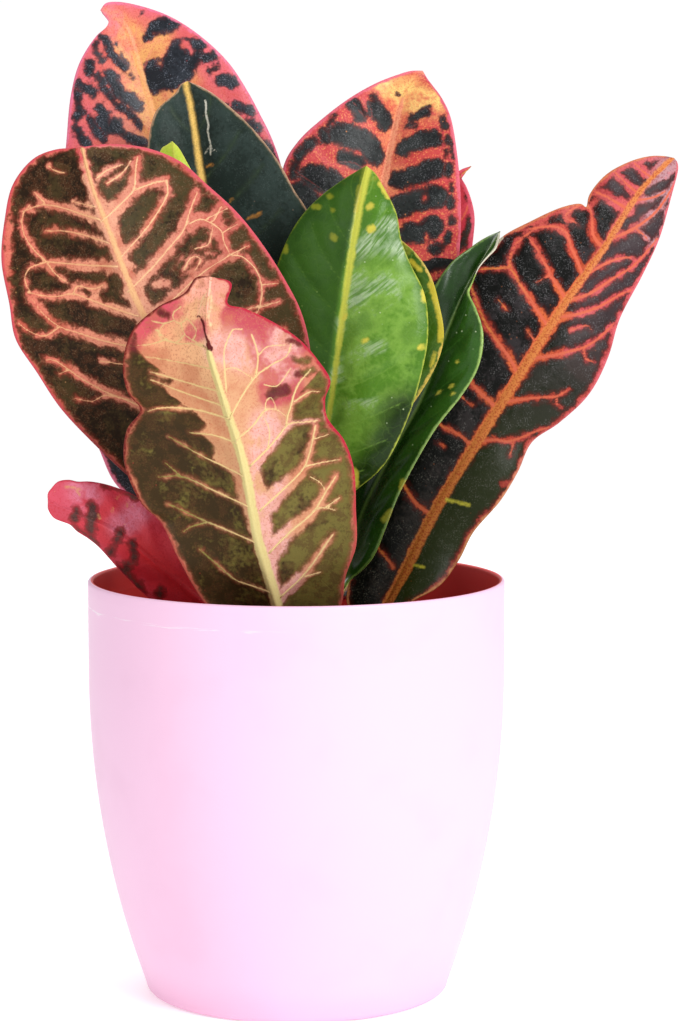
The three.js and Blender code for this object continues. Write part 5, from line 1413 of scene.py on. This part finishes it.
# Pot: a profile turned round the middle, radius = rim - taper * (share of height below the straight
# part) ** power outside, with a rounded foot and lip, and drain holes cut through its floor.
pot = {
    "height": 120.0, "radius": 60.0, "taper": 16.9, "taperTop": 95.0, "taperPower": 2.09, "corner": 2.5,
    "wall": 1.8, "floor": 2.5, "lip": 1.6, "lipFrom": 4.0, "lipFade": 4.0, "sides": 192, "rows": 40,
    "lipRows": 8, "bowlRows": 5, "middle": 0.01, "sharpAngle": 35, "drainRadius": 4.0, "drainRing": 24.0,
    "drainCount": 4, "drainSides": 32, "drainBelow": 2.0, "outside": paint(244, 200, 228),
    "foot": paint(243, 186, 216), "inside": paint(246, 74, 72), "insideShade": paint(226, 46, 46),
    "scuff": paint(255, 240, 250), "grime": paint(236, 190, 218), "lump": (26, 3), "grain": (0.6, 2),
    "streak": (9, 3), "streakScale": (1.0, 1.0, 14.0), "footEdge": (3.0, 16.0), "footWander": 8,
    "footShare": 0.8, "grimeEdge": (0.5, 0.75), "grimeShare": 0.35, "scuffHeight": 113.0,
    "scuffWander": 1.6, "scuffHalf": (0.1, 0.45), "scuffGaps": (0.42, 0.6), "scuffEnd": (-22.0, 2.0),
    "scuffShare": 0.8, "insideTop": 118, "insideEdge": (4.0, 26.0), "insideWander": 6,
    "insideMark": (0.35, 0.65), "rough": 0.42, "roughSpread": 0.1, "scuffGloss": 0.05, "grainRelief": 0.5,
    "lumpRelief": 0.6, "bump": 0.05, "specular": 0.4,
}


def potOutside(height):
    below = np.clip((pot["taperTop"] - height) / pot["taperTop"], 0, 1)
    return pot["radius"] - pot["taper"] * below ** pot["taperPower"]


# (radius, height) rings from the middle of the underside, up the outside, over the lip and down inside
def potProfile():
    corner, floor, half = pot["corner"], pot["floor"], pot["lip"] / 2
    lipMiddle = pot["height"] - half
    foot = potOutside(corner) - corner
    turn = np.linspace(0, np.pi / 2, pot["lipRows"])
    rounded = np.stack([foot + corner * np.sin(turn), corner * (1 - np.cos(turn))], axis=-1)
    heights = np.linspace(corner, lipMiddle, pot["rows"])[1:]
    outside = np.stack([potOutside(heights), heights], axis=-1)
    over = np.linspace(0, np.pi, pot["lipRows"] + 2)[1:-1]
    lip = np.stack([pot["radius"] - half + half * np.cos(over), lipMiddle + half * np.sin(over)], axis=-1)
    down = np.linspace(lipMiddle, floor + corner, pot["rows"])
    thinner = smooth((pot["height"] - pot["lipFrom"] - down) / pot["lipFade"])
    wall = pot["lip"] + (pot["wall"] - pot["lip"]) * thinner
    inside = np.stack([potOutside(down) - wall, down], axis=-1)
    low = potOutside(floor) - pot["wall"] - corner
    bend = np.linspace(np.pi / 2, np.pi, pot["bowlRows"])[1:]
    bowl = np.stack([low + corner * np.sin(bend), floor + corner * (1 + np.cos(bend))], axis=-1)
    under = [[pot["middle"], 0], [foot / 2, 0]]
    bottom = [[low / 2, floor], [pot["middle"], floor]]
    insideFrom = len(under) + len(rounded) + len(outside) + len(lip) // 2
    return np.vstack([under, rounded, outside, lip, inside, bowl, bottom]), insideFrom


def potMaterial():
    net = Net("pot_look")
    inside = net.attribute("inside")
    height = net.node("ShaderNodeSeparateXYZ", {}, {0: net.place}, 2) * perMetre
    sideways = net.node("ShaderNodeSeparateXYZ", {}, {0: net.place}, 0) * perMetre
    lump = net.noise(*pot["lump"])
    grain = net.noise(*pot["grain"])
    streak = net.noise(*pot["streak"], net.stretched(pot["streakScale"]))
    isFoot = 1 - net.step(height + lump * pot["footWander"], *pot["footEdge"])
    skin = net.mix(pot["outside"], pot["foot"], isFoot * pot["footShare"])
    skin = net.mix(skin, pot["grime"], net.step(lump, *pot["grimeEdge"]) * pot["grimeShare"])
    # The broken scuff line below the rim, on the left of the front
    offLine = abs(height - pot["scuffHeight"] + (streak - 0.5) * pot["scuffWander"])
    scuff = (1 - net.step(offLine, *pot["scuffHalf"])) * net.step(streak, *pot["scuffGaps"])
    scuff = scuff * (1 - net.step(sideways, *pot["scuffEnd"]))
    skin = net.mix(skin, pot["scuff"], scuff * pot["scuffShare"])
    # Painted shade: the red inside darkens further down the wall, into the pot's hollow
    fromTop = pot["insideTop"] - height + lump * pot["insideWander"]
    red = net.mix(pot["inside"], pot["insideShade"], net.step(fromTop, *pot["insideEdge"]))
    colour = net.mix(skin, red, net.step(inside, *pot["insideMark"]))
    roughness = pot["rough"] + (lump - 0.5) * pot["roughSpread"] - scuff * pot["scuffGloss"]
    relief = grain * pot["grainRelief"] + lump * pot["lumpRelief"] + scuff
    return net.finish(colour, roughness, relief, pot["bump"], {"Specular IOR Level": pot["specular"]})


# A profile of (radius, height) rings turned round the Z axis
def lathe(profile, sides):
    angles = 2 * np.pi * np.arange(sides) / sides
    around = np.stack([np.cos(angles), np.sin(angles)], axis=-1)
    flat = profile[:, None, :1] * around
    return np.concatenate([flat, np.repeat(profile[:, None, 1:], sides, axis=1)], axis=-1)


def buildPot():
    profile, insideFrom = potProfile()
    points = lathe(profile, pot["sides"])
    rows = len(profile)
    inside = np.repeat((np.arange(rows) >= insideFrom).astype(float), pot["sides"])
    piece = addPiece(
        "pot_shell", points.reshape(-1, 3), ringFaces(rows, pot["sides"]), potMaterial(),
        "pot", {"inside": inside},
    )
    ends = np.array([[pot["drainRadius"], -pot["drainBelow"]], [pot["drainRadius"], 2 * pot["floor"]]])
    drills = []
    for index in range(pot["drainCount"]):
        angle = (index + 0.5) * 2 * np.pi / pot["drainCount"]
        middle = pot["drainRing"] * np.array([math.cos(angle), math.sin(angle), 0])
        rod = lathe(ends, pot["drainSides"]).reshape(-1, 3) + middle
        drills.append(addPiece(
            "drill", rod, ringFaces(2, pot["drainSides"]), piece.data.materials[0], "", {},
        ))
    for drill in drills:
        cut = piece.modifiers.new("drain", "BOOLEAN")
        cut.operation = "DIFFERENCE"
        cut.object = drill
        cut.solver = "EXACT"
    seen = piece.evaluated_get(bpy.context.evaluated_depsgraph_get())
    drilled = bpy.data.meshes.new_from_object(seen)
    piece.modifiers.clear()
    piece.data = drilled
    drilled.shade_smooth()
    drilled.set_sharp_from_angle(angle=math.radians(pot["sharpAngle"]))
    for drill in drills:
        bpy.data.objects.remove(drill)
    print("pot", len(drilled.polygons), "faces")


# Soil: a turned body whose top is lumpy, with loose crumbs on it
soil = {
    "edge": 92.0, "crown": 3.0, "gap": 0.3, "sides": 160, "rings": 54, "walls": 10, "middle": 0.01,
    "topMiddle": 0.001, "wallTop": 91.0, "lump": 0.99, "lumpFade": 3, "seed": 5,
    "lumps": [(0.9, 7.0, 1), (0.6, 2.6, 2), (0.35, 1.2, 3)], "crumbs": 300, "crumbFrom": 0.01,
    "crumbSize": (0.6, 2.0), "crumbShape": (0.6, 1.2), "crumbLift": 0.3, "crumbEdge": 4, "crumbRings": 5,
    "crumbSides": 6, "crumbPole": 0.05, "dark": paint(44, 31, 24), "pale": paint(92, 70, 54),
    "damp": paint(28, 20, 16), "clod": (3.5, 4), "grit": (0.9, 3), "dampEdge": (0.3, 0.6),
    "paleEdge": (0.58, 0.72), "paleShare": 0.6, "rough": 0.9, "clodRelief": 0.8, "bump": 0.5,
    "specular": 0.2,
}


def soilMaterial():
    net = Net("soil_look")
    clod = net.noise(*soil["clod"])
    grit = net.noise(*soil["grit"])
    colour = net.mix(soil["damp"], soil["dark"], net.step(clod, *soil["dampEdge"]))
    colour = net.mix(colour, soil["pale"], net.step(grit, *soil["paleEdge"]) * soil["paleShare"])
    relief = grit + clod * soil["clodRelief"]
    return net.finish(colour, soil["rough"], relief, soil["bump"], {"Specular IOR Level": soil["specular"]})


# The top is height = edge + crown * (1 - share ** 2), plus sums of lumps that fade out at the pot's wall
def buildSoil():
    look = soilMaterial()
    reach = potOutside(soil["edge"]) - pot["wall"] - soil["gap"]
    share = np.linspace(1, soil["topMiddle"], soil["rings"])
    top = np.stack([reach * share, soil["edge"] + soil["crown"] * (1 - share ** 2)], axis=-1)
    heights = np.linspace(pot["floor"] + pot["corner"] + soil["gap"], soil["wallTop"], soil["walls"])
    wall = np.stack([potOutside(heights) - pot["wall"] - soil["gap"], heights], axis=-1)
    low = pot["floor"] + soil["gap"]
    foot = [[soil["middle"], low], [potOutside(low) - pot["wall"] - pot["corner"] - soil["gap"], low]]
    points = lathe(np.vstack([foot, wall, top]), soil["sides"])
    topFrom = len(foot) + len(wall)
    place = points[topFrom:]
    rough = sum(rise * lumps(place, size, seed) for rise, size, seed in soil["lumps"])
    fade = smooth((reach - np.linalg.norm(place[..., :2], axis=-1)) / soil["lumpFade"])
    points[topFrom:, :, 2] += soil["lump"] * rough * fade
    rows = len(points)
    faces = ringFaces(rows, soil["sides"])
    count = soil["crumbs"]
    dice = np.random.default_rng(soil["seed"])
    radius = (reach - soil["crumbEdge"]) * np.sqrt(dice.uniform(soil["crumbFrom"], 1, count))
    angle = dice.uniform(0, 2 * np.pi, count)
    size = dice.uniform(*soil["crumbSize"], count)
    height = soil["edge"] + soil["crown"] * (1 - (radius / reach) ** 2) + soil["crumbLift"] * size
    centre = np.stack([radius * np.cos(angle), radius * np.sin(angle), height], axis=-1)
    turn = np.linspace(soil["crumbPole"], np.pi - soil["crumbPole"], soil["crumbRings"])
    ball = lathe(np.stack([np.sin(turn), -np.cos(turn)], axis=-1), soil["crumbSides"]).reshape(-1, 3)
    shape = dice.uniform(*soil["crumbShape"], (count, len(ball), 1))
    crumbs = centre[:, None] + size[:, None, None] * ball * shape
    first = rows * soil["sides"]
    for index in range(count):
        faces += ringFaces(soil["crumbRings"], soil["crumbSides"], first + index * len(ball))
    points = np.vstack([points.reshape(-1, 3), crumbs.reshape(-1, 3)])
    addPiece("soil_top", points, faces, look, "soil", {})
    print("soil", len(faces), "faces")


# Stem: a round bar along a line, with ringed leaf scars, and a stub under each leaf's stalk
stem = {
    "line": [[2, 6, 50], [2, 6, 95], [2.5, 7, 135], [3, 8, 168]], "radius": 4.2, "topRadius": 2.6,
    "rows": 160, "sides": 28, "ringEvery": 7.0, "ringRise": 0.25, "ringWidth": 0.12, "tipRound": 0.015,
    "tipLeast": 0.0004, "aside": (0.31, 0.9, 0.12), "ripple": 0.03, "rippleCount": 3, "rippleTwist": 9,
    "stubLength": 5.5, "stubAhead": 0.6, "stubRadius": 2.5, "stubTip": 1.6, "stubRows": 12,
    "stubSides": 16, "wood": paint(122, 104, 76), "young": paint(104, 116, 62), "scar": paint(84, 66, 50),
    "lump": (4, 3), "fibre": (1.4, 3), "fibreScale": (1.0, 1.0, 0.2), "youngEdge": (125.0, 165.0),
    "youngWander": 20, "scarEdge": (0.5, 0.7), "scarShare": 0.6, "rough": 0.7, "lumpRelief": 0.5,
    "bump": 0.25,
}


# Rings round a curve: centre + radius * (side * cos + other * sin), across the way it runs
def bar(curve, radii, sides, rows):
    centre = pointAt(curve, np.linspace(0, 1, rows))
    run = unit(np.gradient(centre, axis=0))
    side = unit(np.cross(run, stem["aside"]))
    other = np.cross(run, side)
    angle = 2 * np.pi * np.arange(sides) / sides
    ring = side[:, None] * np.cos(angle)[:, None] + other[:, None] * np.sin(angle)[:, None]
    return centre[:, None] + radii[..., None] * ring


def stemMaterial():
    net = Net("stem_look")
    height = net.node("ShaderNodeSeparateXYZ", {}, {0: net.place}, 2) * perMetre
    lump = net.noise(*stem["lump"])
    fibre = net.noise(*stem["fibre"], net.stretched(stem["fibreScale"]))
    isYoung = net.step(height + lump * stem["youngWander"], *stem["youngEdge"])
    colour = net.mix(stem["wood"], stem["young"], isYoung)
    colour = net.mix(colour, stem["scar"], net.step(fibre, *stem["scarEdge"]) * stem["scarShare"])
    return net.finish(colour, stem["rough"], fibre + lump * stem["lumpRelief"], stem["bump"], {})


def buildStem():
    look = stemMaterial()
    curve = smoothCurve(stem["line"])
    share = np.linspace(0, 1, stem["rows"])
    wave = (share * curve["length"] / stem["ringEvery"]) % 1
    rise = stem["ringRise"] * np.exp(-((wave - 0.5) / stem["ringWidth"]) ** 2)
    close = np.sqrt(np.clip((1 - share) / stem["tipRound"], stem["tipLeast"], 1))
    radii = (stem["radius"] + (stem["topRadius"] - stem["radius"]) * share + rise) * close
    angle = 2 * np.pi * np.arange(stem["sides"]) / stem["sides"]
    ripple = np.cos(stem["rippleCount"] * angle + stem["rippleTwist"] * share[:, None])
    radii = radii[:, None] * (1 + stem["ripple"] * ripple)
    points = [bar(curve, radii, stem["sides"], stem["rows"]).reshape(-1, 3)]
    faces = ringFaces(stem["rows"], stem["sides"])
    first = len(points[0])
    rows, sides = stem["stubRows"], stem["stubSides"]
    width = stem["stubRadius"] + (stem["stubTip"] - stem["stubRadius"]) * np.linspace(0, 1, rows)
    for leaf in leaves:
        rib = smoothCurve(leaf["rib"])
        root = pointAt(rib, 0.0)
        outward = unit(pointAt(rib, 0.01) - root)
        line = smoothCurve([root - outward * stem["stubLength"], root + outward * stem["stubAhead"]])
        stub = bar(line, np.repeat(width[:, None], sides, axis=1), sides, rows)
        faces += ringFaces(rows, sides, first)
        points.append(stub.reshape(-1, 3))
        first += len(points[-1])
    addPiece("stem_bark", np.vstack(points), faces, look, "stem", {})
    print("stem", len(faces), "faces")


# Floor: a flat disc just under the pot
ground = {
    "reach": 1300, "rings": (0.0001, 0.02, 0.1, 0.4, 1.0), "sides": 64, "drop": 0.05, "glow": 0.3,
    "pale": paint(246, 246, 246), "shade": paint(242, 242, 242), "grain": (40, 2),
    "shadeEdge": (0.4, 0.7), "rough": 0.8, "bump": 0.01,
}


def buildFloor():
    net = Net("floor_look")
    grain = net.noise(*ground["grain"])
    glow = {"Emission Color": (1, 1, 1), "Emission Strength": ground["glow"]}
    colour = net.mix(ground["pale"], ground["shade"], net.step(grain, *ground["shadeEdge"]))
    look = net.finish(colour, ground["rough"], grain, ground["bump"], glow)
    share = np.array(ground["rings"])
    disc = lathe(np.stack([ground["reach"] * share, 0 * share - ground["drop"]], axis=-1), ground["sides"])
    faces = ringFaces(len(share), ground["sides"])[:-1]
    floor = addPiece("floor", disc.reshape(-1, 3), faces, look, "", {})
    floor.data.flip_normals()


setCamera()
setLights()
buildFloor()
print("room ready")
buildPot()
buildSoil()
buildStem()
for leaf in leaves:
    buildLeaf({**plainLeaf, **leaf})
